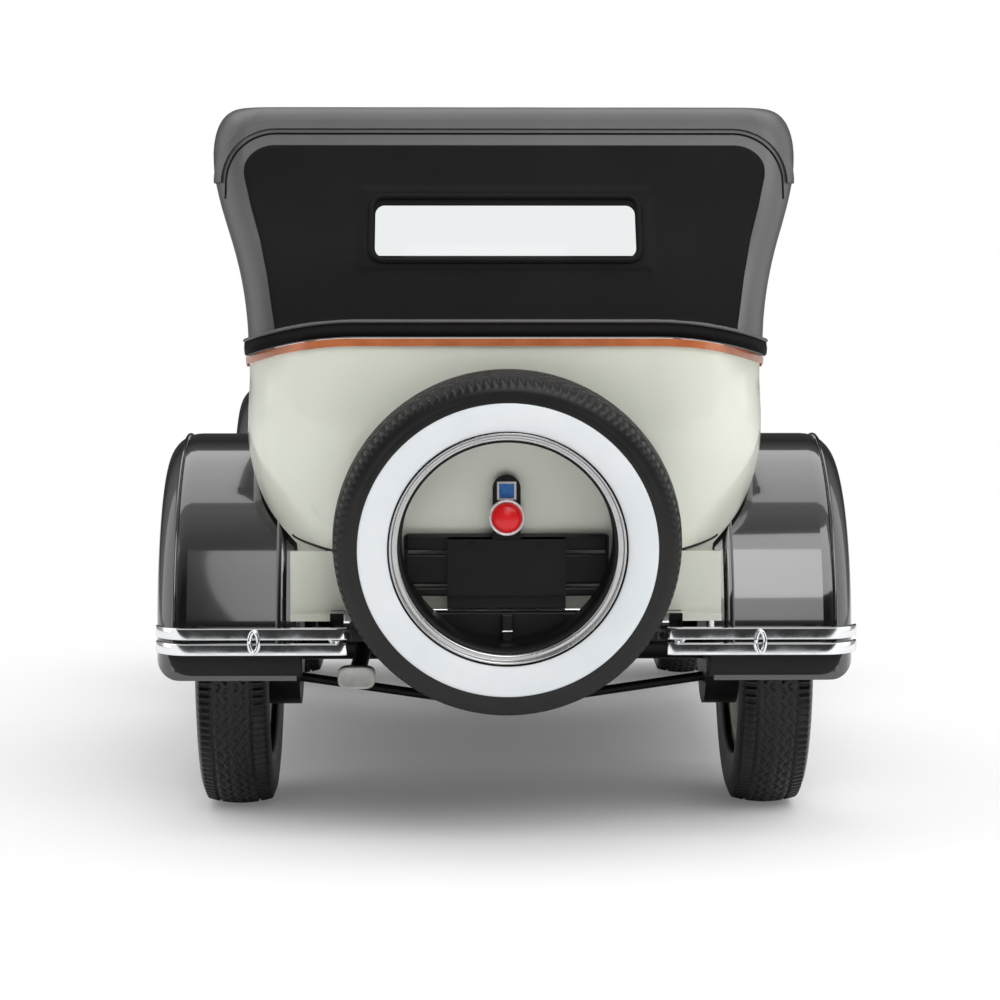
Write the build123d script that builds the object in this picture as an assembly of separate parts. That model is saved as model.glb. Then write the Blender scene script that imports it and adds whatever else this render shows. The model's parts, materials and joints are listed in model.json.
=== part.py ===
from build123d import *
import os
from math import asin, cos, pi, radians, sin, sqrt

# Touring car of the 1920s, a collector's model at one eighteenth of the real car.
# Millimetres. +Z is up, the car faces -Y, and +X is the car's own left.
# The origin is on the ground, under the middle of the car.

# Running gear
wheelbase = 161.0
track = 79.0
rear_axle_y = 75.2
tyre_d = 48.0
tyre_w = 10.6
tyre_seat_d = 32.8
rim_t = 1.5
rim_w = 7.6
spoke_count = 12
spoke_t = 1.9
hub_d = 7.6
hub_cap_d = 5.2
hub_in = 2.4
hub_out = 3.6
spindle_d = 2.4
kingpin_d = 2.0
kingpin_inset = 6.5
steer_arm = 11.0
drum_d = 18.0
axle_tube_d = 4.6
front_beam_z = 16.6
eye_d = 4.2
eye_h = 5.0
ear_t = 1.3
engine_y0 = -82.0
engine_y1 = -46.0
engine_top_z = 54.0
gearbox_y1 = -34.0
truss_rod_d = 1.4
truss_sag = 3.5

# Frame
rail_x = 23.65
rail_front_x = 17.2
rail_w = 1.9
rail_z0 = 27.6
rail_z1 = 32.4
frame_front_y = -117.0
frame_rear_y = 112.0
boss_d = 5.0
boss_hole_d = 2.2
boss_depth = 5.0
boss_reach = 5.5
boss_spacing_x = 26.0
boss_spacing_y = 80.0

# Fenders and running boards
fender_t = 1.1
rear_fender_r = 32.0
rear_fender_in = 30.8
rear_fender_out = 49.9
front_fender_r = 35.2
front_fender_in = 29.0
front_fender_out = 50.6
crown_round = 4.6
edge_drop = 4.4
tail_tuck = 3.0
tail_z = 22.0
tail_corner = 3.4
front_tuck = 5.2
apron_x = 22.4
apron_bend_z = 44.0
apron_top_z = 53.0
board_z = 21.4
board_t = 1.6
board_out = 48.6
board_front_y = -38.0
board_rear_y = 44.5

# Body
wall = 1.5
shut_gap = 0.35
sill_z = 31.2
floor_t = 1.2
belt_z = 66.5
belt_rise = 3.1
bead_t = 1.1
bead_out = 0.45
scuttle_y = -22.0
firewall_y = -36.0
front_door_y0 = -17.5
front_door_y1 = 16.5
rear_door_y0 = 21.5
rear_door_y1 = 50.5
apron_z0 = 31.6

# Bonnet and radiator
bonnet_front_y = -88.0
bonnet_z0 = 42.0
bonnet_t = 0.9
louvre_count = 14
louvre_pitch = 2.8
louvre_w = 1.1
louvre_h = 11.0
louvre_rise = 4.0
louvre_out = 0.4
radiator_w = 32.0
radiator_z0 = 30.5
radiator_z1 = 64.5
radiator_depth = 5.6
slat_count = 11
cowl_w = 45.0
cowl_top_z = 67.0

# Top
roof_z = 103.9
roof_front_y = -27.5
roof_front_half = 37.5
quarter_y = 57.0
eaves_drop = 8.1
top_t = 1.2
window_w = 37.0
window_h = 8.4
window_share = 0.4064
screen_inset = 1.2
screen_drop = 6.9
screen_bar = 1.4
upper_pane_h = 13.0
window_frame = 1.1
seam_out = 0.35
seam_share = 0.945
seam_round = 9.0
seam_h = 1.2
hem_h = 2.6
glass_t = 0.6

# Tail
spare_z = 42.75
spare_back = 43.0
spare_lean = 9.0
plate_w = 16.5
plate_h = 7.8
plate_t = 0.8
plate_z = 35.0
carrier_back = 35.0
carrier_t = 1.9
carrier_z0 = 35.3
carrier_z1 = 43.5
slot_h = 0.7
stand_w = 3.9
stand_top_z = 51.8
lamp_z = 45.9
lamp_reach = 1.7
lamp_d = 4.5
lens_d = 3.9
bumper_gap_x0 = 22.1
bumper_x1 = 48.1
bumper_z0 = 27.2
bumper_z1 = 31.0
bumper_rear_y = 118.4
bumper_front_y = -126.6
bumper_t = 1.2
bumper_arm_z0 = 28.2
bumper_arm_h = 2.0
clip_x = 34.8
clip_w = 1.5
headlamp_d = 12.6
headlamp_x = 21.5
headlamp_z = 46.5
headlamp_y = -100.0

# Clearances between pieces
run_gap = 0.05
seat_gap = 0.05
move_gap = 0.4

# Places that follow from the sizes above
axle_z = tyre_d / 2
rim_bore_d = tyre_seat_d - 2 * rim_t
front_axle_y = rear_axle_y - wheelbase
wheel_x = track / 2
kingpin_x = wheel_x - kingpin_inset
tail_y = rear_axle_y + 38.0
floor_z = rail_z1 + seat_gap
bonnet_rear_y = firewall_y - shut_gap
top_h = roof_z - belt_z
eaves_z = roof_z - eaves_drop
window_z0 = belt_z + window_share * top_h
screen_z1 = roof_z - screen_drop
spindle_end = wheel_x + hub_out - 1.4
carrier_face_y = rear_axle_y + carrier_back + carrier_t + seat_gap


# Shapes used throughout
def block(x0, x1, y0, y1, z0, z1):
    """Plain block between two corners."""
    return Pos((x0 + x1) / 2, (y0 + y1) / 2, (z0 + z1) / 2) * Box(x1 - x0, y1 - y0, z1 - z0)


def rod(start, end, d):
    """Round rod of diameter d from start to end."""
    start, end = Vector(start), Vector(end)
    run = end - start
    return extrude(Plane(origin=start, z_dir=run) * Circle(d / 2), run.length)


def side_plate(points, x0, x1):
    """Plate whose outline is drawn in the side view, as (y, z) points, from x0 to x1."""
    outline = make_face(Polyline(*points, close=True))
    return extrude(Plane.YZ.offset(x0) * outline, x1 - x0)


def end_plate(points, y0, y1):
    """Plate whose outline is drawn in the end view, as (x, z) points, from y0 to y1."""
    outline = make_face(Polyline(*points, close=True))
    return extrude(Plane.XZ.offset(-y0) * outline, y0 - y1)


def both(piece):
    """The piece and its mirror image on the other side of the car."""
    return Compound([*piece.solids(), *mirror(piece, Plane.YZ).solids()])


def ring(x0, x1, d_out, d_in, y, z):
    """Ring about an axis along X."""
    face = Circle(d_out / 2) - Circle(d_in / 2)
    return Pos(x0, y, z) * extrude(Plane.YZ * face, x1 - x0)


def disc(x0, x1, d, y, z):
    """Disc about an axis along X."""
    return Pos(x0, y, z) * extrude(Plane.YZ * Circle(d / 2), x1 - x0)


# Body tub: columns are height, half-width at the doors, half-width at the tail, tail behind the axle
tub_levels = [
    (sill_z, 32.0, 29.0, 33.0),
    (40.5, 34.0, 30.3, 34.2),
    (47.0, 35.4, 34.2, 35.4),
    (57.0, 36.9, 36.8, 37.0),
    (belt_z + belt_rise + bead_t + 1.0, 37.7, 37.7, 38.0),
]
front_taper = 2.0
tail_round = 15.0
side_round = 60.0
tub_split_y = rear_door_y1 + shut_gap
screen_half = tub_levels[-1][1] - front_taper - screen_inset


def tub_outline(level, inset):
    """Plan outline of the tub at one level, moved inwards by the inset."""
    z, door_half, rear_half, tail = level
    side = [
        (door_half - front_taper - inset, scuttle_y - (5 if inset > 0 else 0)),
        (door_half - inset, rear_door_y1),
        (rear_half - inset, rear_axle_y + tail - inset),
    ]
    points = side + [(-x, y) for x, y in reversed(side)]
    corner = tail_round - inset
    radii = [0, side_round, corner, corner, side_round, 0]
    return Plane.XY.offset(z) * make_face(FilletPolyline(*points, radius=radii, close=True))


def tub_solid(inset, reach):
    """Solid tub, with its ends reaching past the top and bottom levels."""
    body = loft([tub_outline(level, inset) for level in tub_levels])
    if reach > 0:
        low = extrude(tub_outline(tub_levels[0], inset), -reach)
        high = extrude(tub_outline(tub_levels[-1], inset), reach)
        body = body + low + high
    return body


def crown_line(lift):
    """Everything above the tub's top edge, which rises in the middle of the tail."""
    half = tub_levels[-1][1]
    flat = half - tail_round - 1.7
    run = half - flat
    r = (run * run + belt_rise * belt_rise) / (2 * belt_rise)
    turn = asin(run / r)
    top = belt_z + belt_rise + lift
    mid_x = flat + r * sin(turn / 2)
    mid_z = top - r + r * cos(turn / 2)
    low = belt_z + lift
    high = roof_z + 20
    out = half + 9
    edges = [
        Line((-flat, top), (flat, top)),
        ThreePointArc((flat, top), (mid_x, mid_z), (half, low)),
        Polyline((half, low), (out, low), (out, high), (-out, high), (-out, low), (-half, low)),
        ThreePointArc((-half, low), (-mid_x, mid_z), (-flat, top)),
    ]
    face = make_face(edges)
    corner_y = tail_y - tail_round - 1.0
    tail = extrude(Plane.XZ.offset(-tail_y - 20) * face, tail_y + 20 - corner_y)
    front = block(-60, 60, scuttle_y - 60, corner_y, low, high)
    return tail + front


def wheel_arch(grow):
    """The space that a rear fender takes out of the tub's sides."""
    cut = disc(rear_fender_in - fender_t - seat_gap, 60, 2 * (rear_fender_r + grow), rear_axle_y, axle_z)
    return both(cut)


def door_outline(y0, y1, grow):
    """Side outline of a door, grown all round for its opening."""
    z0 = sill_z + wall + shut_gap - grow
    return [(y0 - grow, z0), (y1 + grow, z0), (y1 + grow, belt_z + 5), (y0 - grow, belt_z + 5)]


def make_tub():
    """The tub's shell, open above and below, before it is parted."""
    shell = tub_solid(0, 0) - tub_solid(wall, 8)
    return shell - crown_line(0) - wheel_arch(seat_gap)


def body_side(tub):
    """Posts and sills on both sides, with the door openings cut."""
    side = tub & block(0, 60, scuttle_y, tub_split_y, 0, 90)
    for y0, y1 in [(front_door_y0, front_door_y1), (rear_door_y0, rear_door_y1)]:
        side -= side_plate(door_outline(y0, y1, shut_gap), 10, 60)
    return both(side)


def body_tonneau(tub):
    """The tail of the body with the panel below it."""
    tail = tub & block(-60, 60, tub_split_y, 140, 40.4, 90)
    half = tub_levels[1][2]
    apron_y = rear_axle_y + tub_levels[0][3]
    apron = block(-half, half, apron_y - wall, apron_y, apron_z0, 40.8)
    lip = block(-half, half, apron_y - wall, apron_y + 0.8, apron_z0 - 0.6, apron_z0 + 0.4)
    half_w = rail_w / 2 + seat_gap
    notch = block(rail_x - half_w, rail_x + half_w, rear_axle_y, 140, 0, floor_z)
    return tail + apron + lip - both(notch)


def door(tub, y0, y1):
    """One left-hand door: the tub's own wall, with a handle, between its shut lines."""
    leaf = tub & side_plate(door_outline(y0, y1, 0), 10, 60)
    leaf -= wheel_arch(shut_gap + move_gap)
    half = tub_levels[-2][1]
    grip_y = y1 - 4.5 if y0 < 0 else y0 + 4.5
    stem = rod((half - wall, grip_y, 61.2), (half + 1.9, grip_y, 61.2), 0.9)
    grip = rod((half + 1.7, grip_y - 3.0, 61.2), (half + 1.7, grip_y + 1.2, 61.2), 1.0)
    return leaf + stem + grip


def belt_bead():
    """The raised bead along the top edge of the tail."""
    skin = tub_solid(-bead_out, 0) - tub_solid(wall, 8)
    band = crown_line(0.02) - crown_line(bead_t)
    return (skin & band) & block(-60, 60, tub_split_y, 140, 0, 120)


# Cowl, bonnet and radiator: shells between two arched sections
def arched(y, half_low, half_high, z0, z1, shoulder):
    """Arched section across the car at y, with rounded shoulders."""
    points = [(half_low, z0), (half_high, z1), (-half_high, z1), (-half_low, z0)]
    outline = FilletPolyline(*points, radius=[0, shoulder, shoulder, 0], close=True)
    return Plane.XZ.offset(-y) * make_face(outline)


def cowl():
    """Scuttle shell from the firewall to the windscreen, closed by the firewall."""
    half = cowl_w / 2
    low = tub_levels[0][1] - front_taper
    high = tub_levels[-1][1] - front_taper
    top = belt_z + bead_t
    outer = loft([
        arched(firewall_y, half - 2, half, sill_z, cowl_top_z - 1.5, 8),
        arched(scuttle_y, low, high, sill_z, top + 1.4, 6),
    ])
    inner = loft([
        arched(firewall_y + wall, half - 2 - wall, half - wall, sill_z - 6, cowl_top_z - 1.5 - wall, 7),
        arched(scuttle_y + 1, low - wall, high - wall, sill_z - 6, top + 1.4 - wall, 5),
    ])
    seat = block(-rail_x - rail_w, rail_x + rail_w, firewall_y - 1, scuttle_y + 1, 0, floor_z)
    return outer - inner - seat


def bonnet_loft(inset, z0, y_front, y_rear):
    """Solid between the radiator's section and the cowl's, moved inwards."""
    half_r = cowl_w / 2 - inset
    half_f = radiator_w / 2 - inset
    rear = arched(y_rear, half_r - 2, half_r, z0, cowl_top_z - 1.5 - inset, 8 - inset)
    front = arched(y_front, half_f - 1, half_f, z0, radiator_z1 - 1.0 - inset, 7 - inset)
    return loft([rear, front])


def bonnet_side_x(y, z):
    """Distance of the bonnet's flank from the centre line."""
    along = (y - bonnet_front_y) / (bonnet_rear_y - bonnet_front_y)
    low = (radiator_w / 2 - 1) * (1 - along) + (cowl_w / 2 - 2) * along
    high = radiator_w / 2 * (1 - along) + cowl_w / 2 * along
    top = (radiator_z1 - 1.0) * (1 - along) + (cowl_top_z - 1.5) * along
    return low + (high - low) * (z - bonnet_z0) / (top - bonnet_z0)


def bonnet_half():
    """Left half of the bonnet, with its louvres, hinged on the centre line."""
    shell = bonnet_loft(0, bonnet_z0, bonnet_front_y, bonnet_rear_y)
    shell -= bonnet_loft(bonnet_t, bonnet_z0 - 2, bonnet_front_y - 1, bonnet_rear_y + 1)
    half = shell & block(move_gap / 2, 60, bonnet_front_y, bonnet_rear_y, 0, 90)
    z0, z1 = bonnet_z0 + louvre_rise, bonnet_z0 + louvre_rise + louvre_h
    first = (bonnet_front_y + bonnet_rear_y - (louvre_count - 1) * louvre_pitch) / 2
    for i in range(louvre_count):
        y = first + i * louvre_pitch
        low, high = bonnet_side_x(y, z0), bonnet_side_x(y, z1)
        sunk, proud = bonnet_t / 2, louvre_out
        outline = [(low - sunk, z0), (low + proud, z0 + 0.4), (high + proud, z1 - 0.4), (high - sunk, z1)]
        half += end_plate(outline, y - louvre_w / 2, y + louvre_w / 2)
    return half


def bonnet_sills():
    """Fixed panels between the bonnet's lower edge and the frame."""
    z0 = rail_z1 + seat_gap
    shell = bonnet_loft(0.2, z0, bonnet_front_y, bonnet_rear_y)
    shell -= bonnet_loft(0.2 + bonnet_t, z0 - 1, bonnet_front_y - 1, bonnet_rear_y + 1)
    return shell & block(-60, 60, bonnet_front_y, bonnet_rear_y, 0, bonnet_z0 - 0.3)


def radiator_shell():
    """Plated surround of the radiator with its filler cap."""
    y1 = bonnet_front_y - 0.1
    y0 = y1 - radiator_depth
    half = radiator_w / 2
    outer = extrude(arched(y1, half - 0.6, half, radiator_z0, radiator_z1, 7), radiator_depth)
    low, high = radiator_z0 + 2.2, radiator_z1 - 5.0
    inner = extrude(arched(y1, half - 2.6, half - 2.0, low, high, 5), radiator_depth)
    y = (y0 + y1) / 2
    neck = rod((0, y, radiator_z1 - 0.4), (0, y, radiator_z1 + 1.2), 3.8)
    cap = rod((0, y, radiator_z1 + 1.1), (0, y, radiator_z1 + 2.4), 5.0)
    return outer - inner + neck + cap


def radiator_core():
    """Honeycomb block inside the surround."""
    y1 = bonnet_front_y - 0.1
    half = radiator_w / 2
    gap = seat_gap
    low, high = radiator_z0 + 2.2 + gap, radiator_z1 - 5.0 - gap
    face = arched(y1 - 1.4, half - 2.6 - gap, half - 2.0 - gap, low, high, 5 - gap)
    block_y = y1 - 1.4 - (radiator_depth - 2.6)
    core = extrude(face, radiator_depth - 2.6)
    pitch = 2 * (half - 3.4) / slat_count
    for i in range(slat_count):
        x = (i - (slat_count - 1) / 2) * pitch
        core += block(x - 0.3, x + 0.3, block_y - 0.5, block_y + 0.2, low + 1.0, high - 5.2)
    return core


# Fenders: an arched sheet over the wheel with its outer edge rolled down
def rear_curve(inset):
    """Side line of a rear fender, from the running board over the wheel to the tail."""
    y, r, tight = rear_axle_y, rear_fender_r - inset, rear_fender_r - tail_tuck - inset
    top = (y, axle_z + r)
    front = (y - r, axle_z)
    back = (y + tight, axle_z + tail_tuck)
    half = sqrt(0.5)
    return [
        Line((y - r, tail_z - crown_round), front),
        ThreePointArc(front, (y - r * half, axle_z + r * half), top),
        ThreePointArc(top, (y + tight * half, axle_z + tail_tuck + tight * half), back),
        Line(back, (y + tight, tail_z - crown_round)),
    ]


def front_curve(inset):
    """Side line of a front fender, from its lip over the wheel down to the running board."""
    y, r, tight = front_axle_y, front_fender_r - inset, front_fender_r - front_tuck - inset
    z = axle_z + front_tuck
    lip, crest, flare = radians(15), radians(52), radians(25)
    top = (y, axle_z + r)
    join = (y + r * cos(flare), axle_z + r * sin(flare))
    tip = (y - tight * cos(lip), z + tight * sin(lip))
    middle = (flare + pi / 2) / 2
    end = (board_front_y + 3 * fender_t, board_z + board_t + seat_gap + fender_t - inset)
    return [
        ThreePointArc(tip, (y - tight * cos(crest), z + tight * sin(crest)), top),
        ThreePointArc(top, (y + r * cos(middle), axle_z + r * sin(middle)), join),
        TangentArc(join, end, tangent=(sin(flare), -cos(flare))),
    ]


def under_curve(curve, anchor, spread=0.0):
    """Face between a fender's side line and a point below it, wider at its feet by the spread."""
    start = curve[0] @ 0
    end = curve[-1] @ 1
    if spread == 0:
        return make_face([*curve, Polyline(end, anchor, start)])
    low = (anchor[0], anchor[1] - 4 * spread)
    foot = (end.X + spread, end.Y - spread)
    toe = (start.X - spread, start.Y - spread)
    return make_face([*curve, Polyline(end, foot, low, toe, start)])


def crown_edges(solid, curve, x):
    """Edges of a fender's side line in the plane at x."""
    middles = [Vector(x, (edge @ 0.5).X, (edge @ 0.5).Y) for edge in curve]
    return [e for e in solid.edges() if any((e @ 0.5 - middle).length < 0.01 for middle in middles)]


def fender(curve, anchor, x0, x1):
    """One left-hand fender from its inner edge to its rolled outer edge."""
    outer = extrude(Plane.YZ.offset(x0) * under_curve(curve(0), anchor), x1 - x0)
    outer = fillet(crown_edges(outer, curve(0), x1), crown_round)
    inner_face = under_curve(curve(fender_t), anchor, 2.0)
    inner = extrude(Plane.YZ.offset(x0 - 1) * inner_face, x1 - x0 + 1 - fender_t)
    inner = fillet(crown_edges(inner, curve(fender_t), x1 - fender_t), crown_round - fender_t)
    mouth_face = under_curve(curve(edge_drop), anchor, 2.0)
    mouth = extrude(Plane.YZ.offset(x1 - crown_round) * mouth_face, 2 * crown_round)
    on_board = block(0, 60, board_front_y, board_rear_y, 0, board_z + board_t + seat_gap)
    return outer - inner - mouth - on_board


def rear_fender():
    """Left rear fender with the inner plate that meets the body."""
    anchor = (rear_axle_y, board_z - 12)
    sheet = fender(rear_curve, anchor, rear_fender_in - fender_t, rear_fender_out)
    sheet -= block(0, 60, 0, 140, 0, tail_z)
    inner_plane = Plane.YZ.offset(rear_fender_in - fender_t)
    plate = extrude(inner_plane * under_curve(rear_curve(0), anchor), fender_t)
    plate -= disc(0, 60, 1.35 * tyre_d - 24.0, rear_axle_y, axle_z)
    plate -= block(0, 60, 0, 140, 0, rail_z0)
    x, z, r = rear_fender_out - tail_corner, tail_z + tail_corner, tail_corner
    corner = block(x, x + 2 * r, rear_axle_y, tail_y, z - 2 * r, z)
    corner -= rod((x, 0, z), (x, tail_y + 9, z), 2 * r)
    return sheet + plate - corner


def front_fender():
    """Left front fender."""
    anchor = (front_axle_y + 10, 5.0)
    return fender(front_curve, anchor, front_fender_in, front_fender_out)


def splash_apron():
    """Left-hand bent sheet between the front fender and the frame."""
    anchor = (front_axle_y + 10, 5.0)
    x1 = front_fender_in - seat_gap
    whole = extrude(Plane.YZ.offset(apron_x) * under_curve(front_curve(0), anchor), x1 - apron_x)
    sheet = [
        (apron_x, rail_z0), (apron_x, apron_bend_z), (x1, apron_top_z), (x1, apron_top_z - 1.6),
        (apron_x + fender_t, apron_bend_z - 0.5), (apron_x + fender_t, rail_z0),
    ]
    return whole & end_plate(sheet, board_front_y - 6, headlamp_y + 8)


def running_board():
    """Left running board with its ribs and the valance up to the sill."""
    top = board_z + board_t
    board = block(rail_x + rail_w / 2 + 1.2, board_out, board_front_y, board_rear_y, board_z, top)
    count = 9
    pitch = (board_out - 33.5) / count
    for i in range(count):
        x = 33.5 + (i + 0.5) * pitch
        board += block(x - 0.35, x + 0.35, board_front_y + 4, board_rear_y - 3, top - 0.1, top + 0.35)
    x0 = tub_levels[0][1] - front_taper - wall
    valance = block(x0, x0 + 1.0, scuttle_y, board_rear_y - 4.0, top - 0.1, sill_z - seat_gap)
    return board + valance


# Frame and axles
def rail_path(x_front, x_rear):
    """Plan points of a rail's edge, wide under the body and narrow at the front."""
    splay_y0, splay_y1 = firewall_y - 22, firewall_y + 8
    return [(x_front, frame_front_y), (x_front, splay_y0), (x_rear, splay_y1), (x_rear, frame_rear_y)]


def frame():
    """Ladder frame with its cross-members, brackets and screw bosses."""
    half = rail_w / 2
    outer = rail_path(rail_front_x + half, rail_x + half)
    inner = rail_path(rail_front_x - half, rail_x - half)
    face = make_face(Polyline(*outer, *reversed(inner), close=True))
    rails = both(extrude(Plane.XY.offset(rail_z0) * face, rail_z1 - rail_z0)).solids()
    members = [
        (frame_front_y + 1, rail_front_x, 3.0),
        (front_axle_y, rail_front_x, 5.0),
        (-boss_spacing_y / 2, rail_x, 8.0),
        (boss_spacing_y / 2, rail_x, 8.0),
        (frame_rear_y - 6, rail_x, 4.0),
    ]
    solid = rails[0] + rails[1]
    for y, x, w in members:
        solid += block(-x, x, y - w / 2, y + w / 2, rail_z0 + 0.4, rail_z0 + 2.6)
    for y in (-24.0, 8.0, 36.0):
        for s in (-1, 1):
            x0, x1 = sorted((s * (rail_x + half - 0.2), s * (board_out - 8)))
            solid += block(x0, x1, y - 1.2, y + 1.2, board_z - 1.3, board_z - seat_gap)
            x0, x1 = sorted((s * (rail_x + half - 0.2), s * (rail_x + half + 1.0)))
            solid += block(x0, x1, y - 1.2, y + 1.2, board_z - 1.3, rail_z0 + 2)
    for y in (front_axle_y - 6, front_axle_y + 24):
        for s in (-1, 1):
            x0, x1 = sorted((s * rail_front_x, s * (apron_x - seat_gap)))
            solid += block(x0, x1, y - 1, y + 1, rail_z0 + 1, rail_z0 + 2.4)
    for x in (-boss_spacing_x / 2, boss_spacing_x / 2):
        for y in (-boss_spacing_y / 2, boss_spacing_y / 2):
            z0 = rail_z0 - boss_reach
            solid += rod((x, y, z0), (x, y, rail_z0 + 1.0), boss_d)
            solid -= rod((x, y, z0), (x, y, z0 + boss_depth), boss_hole_d)
    return solid


def rear_axle():
    """Live axle with its centre casing, torque tube, drums, truss rod and wheel spindles."""
    drum_x1 = wheel_x - rim_w / 2 - 0.3
    drum_x0 = drum_x1 - 5.0
    tube = rod((-drum_x0, rear_axle_y, axle_z), (drum_x0, rear_axle_y, axle_z), axle_tube_d)
    whole = tube + Pos(0, rear_axle_y, axle_z) * Sphere(5.6)
    whole += rod((0, rear_axle_y, axle_z), (0, gearbox_y1 + seat_gap, rail_z0 + 2.4), 3.2)
    for s in (-1, 1):
        x0, x1 = sorted((s * drum_x0, s * drum_x1))
        whole += disc(x0, x1, drum_d, rear_axle_y, axle_z)
        x0, x1 = sorted((s * drum_x1, s * spindle_end))
        whole += disc(x0, x1, spindle_d, rear_axle_y, axle_z)
        start = (s * (drum_x0 + 0.6), rear_axle_y, axle_z - 4.9)
        middle = (s * 7.0, rear_axle_y, axle_z - 4.9 - truss_sag)
        whole += rod(start, middle, truss_rod_d)
        whole += Pos(*middle) * Sphere(truss_rod_d / 2)
    level = axle_z - 4.9 - truss_sag
    whole += rod((-7.0, rear_axle_y, level), (7.0, rear_axle_y, level), truss_rod_d)
    whole += rod((0, rear_axle_y, level), (0, rear_axle_y, axle_z - 5), truss_rod_d)
    return whole


def springs():
    """Leaf springs over the axles, clamped between frame and axle."""
    leaves = []
    rows = [
        (rear_axle_y, rail_x, 24.0, axle_z + axle_tube_d / 2 + seat_gap),
        (front_axle_y, rail_front_x, 20.0, front_beam_z + 2.6 + seat_gap),
    ]
    for y, x, reach, z in rows:
        for i in range(3):
            half = reach * (1 - 0.26 * i)
            z1 = rail_z0 - seat_gap if i == 0 else z + (3 - i) * (rail_z0 - seat_gap - z) / 3
            z0 = z + (2 - i) * (rail_z0 - seat_gap - z) / 3
            leaves.append(block(x - 1.3, x + 1.3, y - half, y + half, z0, z1))
    rear = leaves[0] + leaves[1] + leaves[2]
    front = leaves[3] + leaves[4] + leaves[5]
    return Compound([*both(rear).solids(), *both(front).solids()])


def front_axle():
    """Dropped beam with an eye at each end for the kingpin."""
    half = kingpin_x - eye_d / 2 - move_gap
    beam = block(-half, half, front_axle_y - 1.3, front_axle_y + 1.3, front_beam_z, front_beam_z + 2.6)
    for s in (-1, 1):
        x0, x1 = sorted((s * (half - 3.4), s * half))
        beam += block(x0, x1, front_axle_y - 1.3, front_axle_y + 1.3, front_beam_z, axle_z + 1.6)
        beam += Pos(s * kingpin_x, front_axle_y, axle_z) * Cylinder(eye_d / 2, eye_h)
        x0, x1 = sorted((s * (half - 0.5), s * (kingpin_x - kingpin_d / 2 - 0.4)))
        beam += block(x0, x1, front_axle_y - 1.3, front_axle_y + 1.3, axle_z - 1.6, axle_z + 1.6)
    for s in (-1, 1):
        beam -= Pos(s * kingpin_x, front_axle_y, axle_z) * Cylinder(kingpin_d / 2 + run_gap, eye_h + 2)
    return beam


def knuckle():
    """Left steering knuckle: kingpin, two ears, the spindle and the steering arm."""
    x, y = kingpin_x, front_axle_y
    pin = Pos(x, y, axle_z) * Cylinder(kingpin_d / 2, eye_h + 2 * (ear_t + move_gap))
    out = x + eye_d / 2 + move_gap
    whole = pin
    for s in (-1, 1):
        z0, z1 = sorted((axle_z + s * (eye_h / 2 + move_gap), axle_z + s * (eye_h / 2 + move_gap + ear_t)))
        whole += rod((x, y, z0), (x, y, z1), eye_d)
        whole += block(x, out + 0.4, y - eye_d / 2, y + eye_d / 2, z0, z1)
    high = eye_h / 2 + move_gap + ear_t
    whole += block(out, out + 1.2, y - eye_d / 2, y + eye_d / 2, axle_z - high, axle_z + high)
    whole += disc(out + 1.0, spindle_end, spindle_d, y, axle_z)
    arm_z = axle_z - high
    whole += block(x - 0.9, x + 0.9, y + 0.5, y + steer_arm, arm_z, arm_z + ear_t)
    whole += rod((x, y + steer_arm, arm_z), (x, y + steer_arm, arm_z + ear_t), 2.6)
    return whole


def tie_rod():
    """Cross rod below the two steering arms."""
    z = axle_z - eye_h / 2 - move_gap - ear_t - move_gap - 1.5
    y = front_axle_y + steer_arm
    bar = rod((-kingpin_x, y, z + 0.6), (kingpin_x, y, z + 0.6), 1.2)
    for s in (-1, 1):
        bar += rod((s * kingpin_x, y, z - 0.2), (s * kingpin_x, y, z + 1.4), 2.4)
    return bar


# Wheels
def tyre_ring(y, z, x):
    """Tyre about an axis along X: bowed sidewalls and a slightly crowned tread."""
    half, seat, out = tyre_w / 2, tyre_seat_d / 2, tyre_d / 2
    bead, tread = half - 2.0, half - 1.2
    middle = (seat + out) / 2 - 0.6
    section = make_face([
        Line((-bead, seat), (bead, seat)),
        ThreePointArc((bead, seat), (half, middle), (tread, out - 0.9)),
        ThreePointArc((tread, out - 0.9), (0, out), (-tread, out - 0.9)),
        ThreePointArc((-tread, out - 0.9), (-half, middle), (-bead, seat)),
    ])
    whole = revolve(Plane.XY * section, Axis.X)
    return Pos(x, y, z) * whole


def wheel(y, z):
    """Left wheel: steel rim, wooden felloe and spokes, hub and cap."""
    x = wheel_x
    whole = ring(x - rim_w / 2, x + rim_w / 2, tyre_seat_d, rim_bore_d, y, z)
    whole += ring(x - 1.9, x + 1.9, rim_bore_d + 0.2, rim_bore_d - 3.4, y, z)
    whole += disc(x - hub_in, x + hub_out, hub_d, y, z)
    whole += disc(x + hub_out - 0.1, x + hub_out + 1.5, hub_cap_d, y, z)
    reach = rim_bore_d / 2 - 1.5
    for i in range(spoke_count):
        turn = 2 * pi * (i + 0.5) / spoke_count
        end = (x, y + reach * cos(turn), z + reach * sin(turn))
        whole += rod((x, y + 2.6 * cos(turn), z + 2.6 * sin(turn)), end, spoke_t)
    bore = disc(x - hub_in - 1, spindle_end + 0.4, spindle_d + 2 * run_gap, y, z)
    return whole - bore


# Spare wheel and what hangs on the tail
def leaning(piece):
    """A piece made about the X axis, set up at the tail with its top leaning back."""
    return Pos(0, rear_axle_y + spare_back, spare_z) * Rot(-spare_lean, 0, 0) * Rot(0, 0, 90) * piece


def spare_rim():
    """Open rim of the spare wheel."""
    return leaning(ring(-rim_w / 2, rim_w / 2, tyre_seat_d, rim_bore_d, 0, 0))


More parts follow.
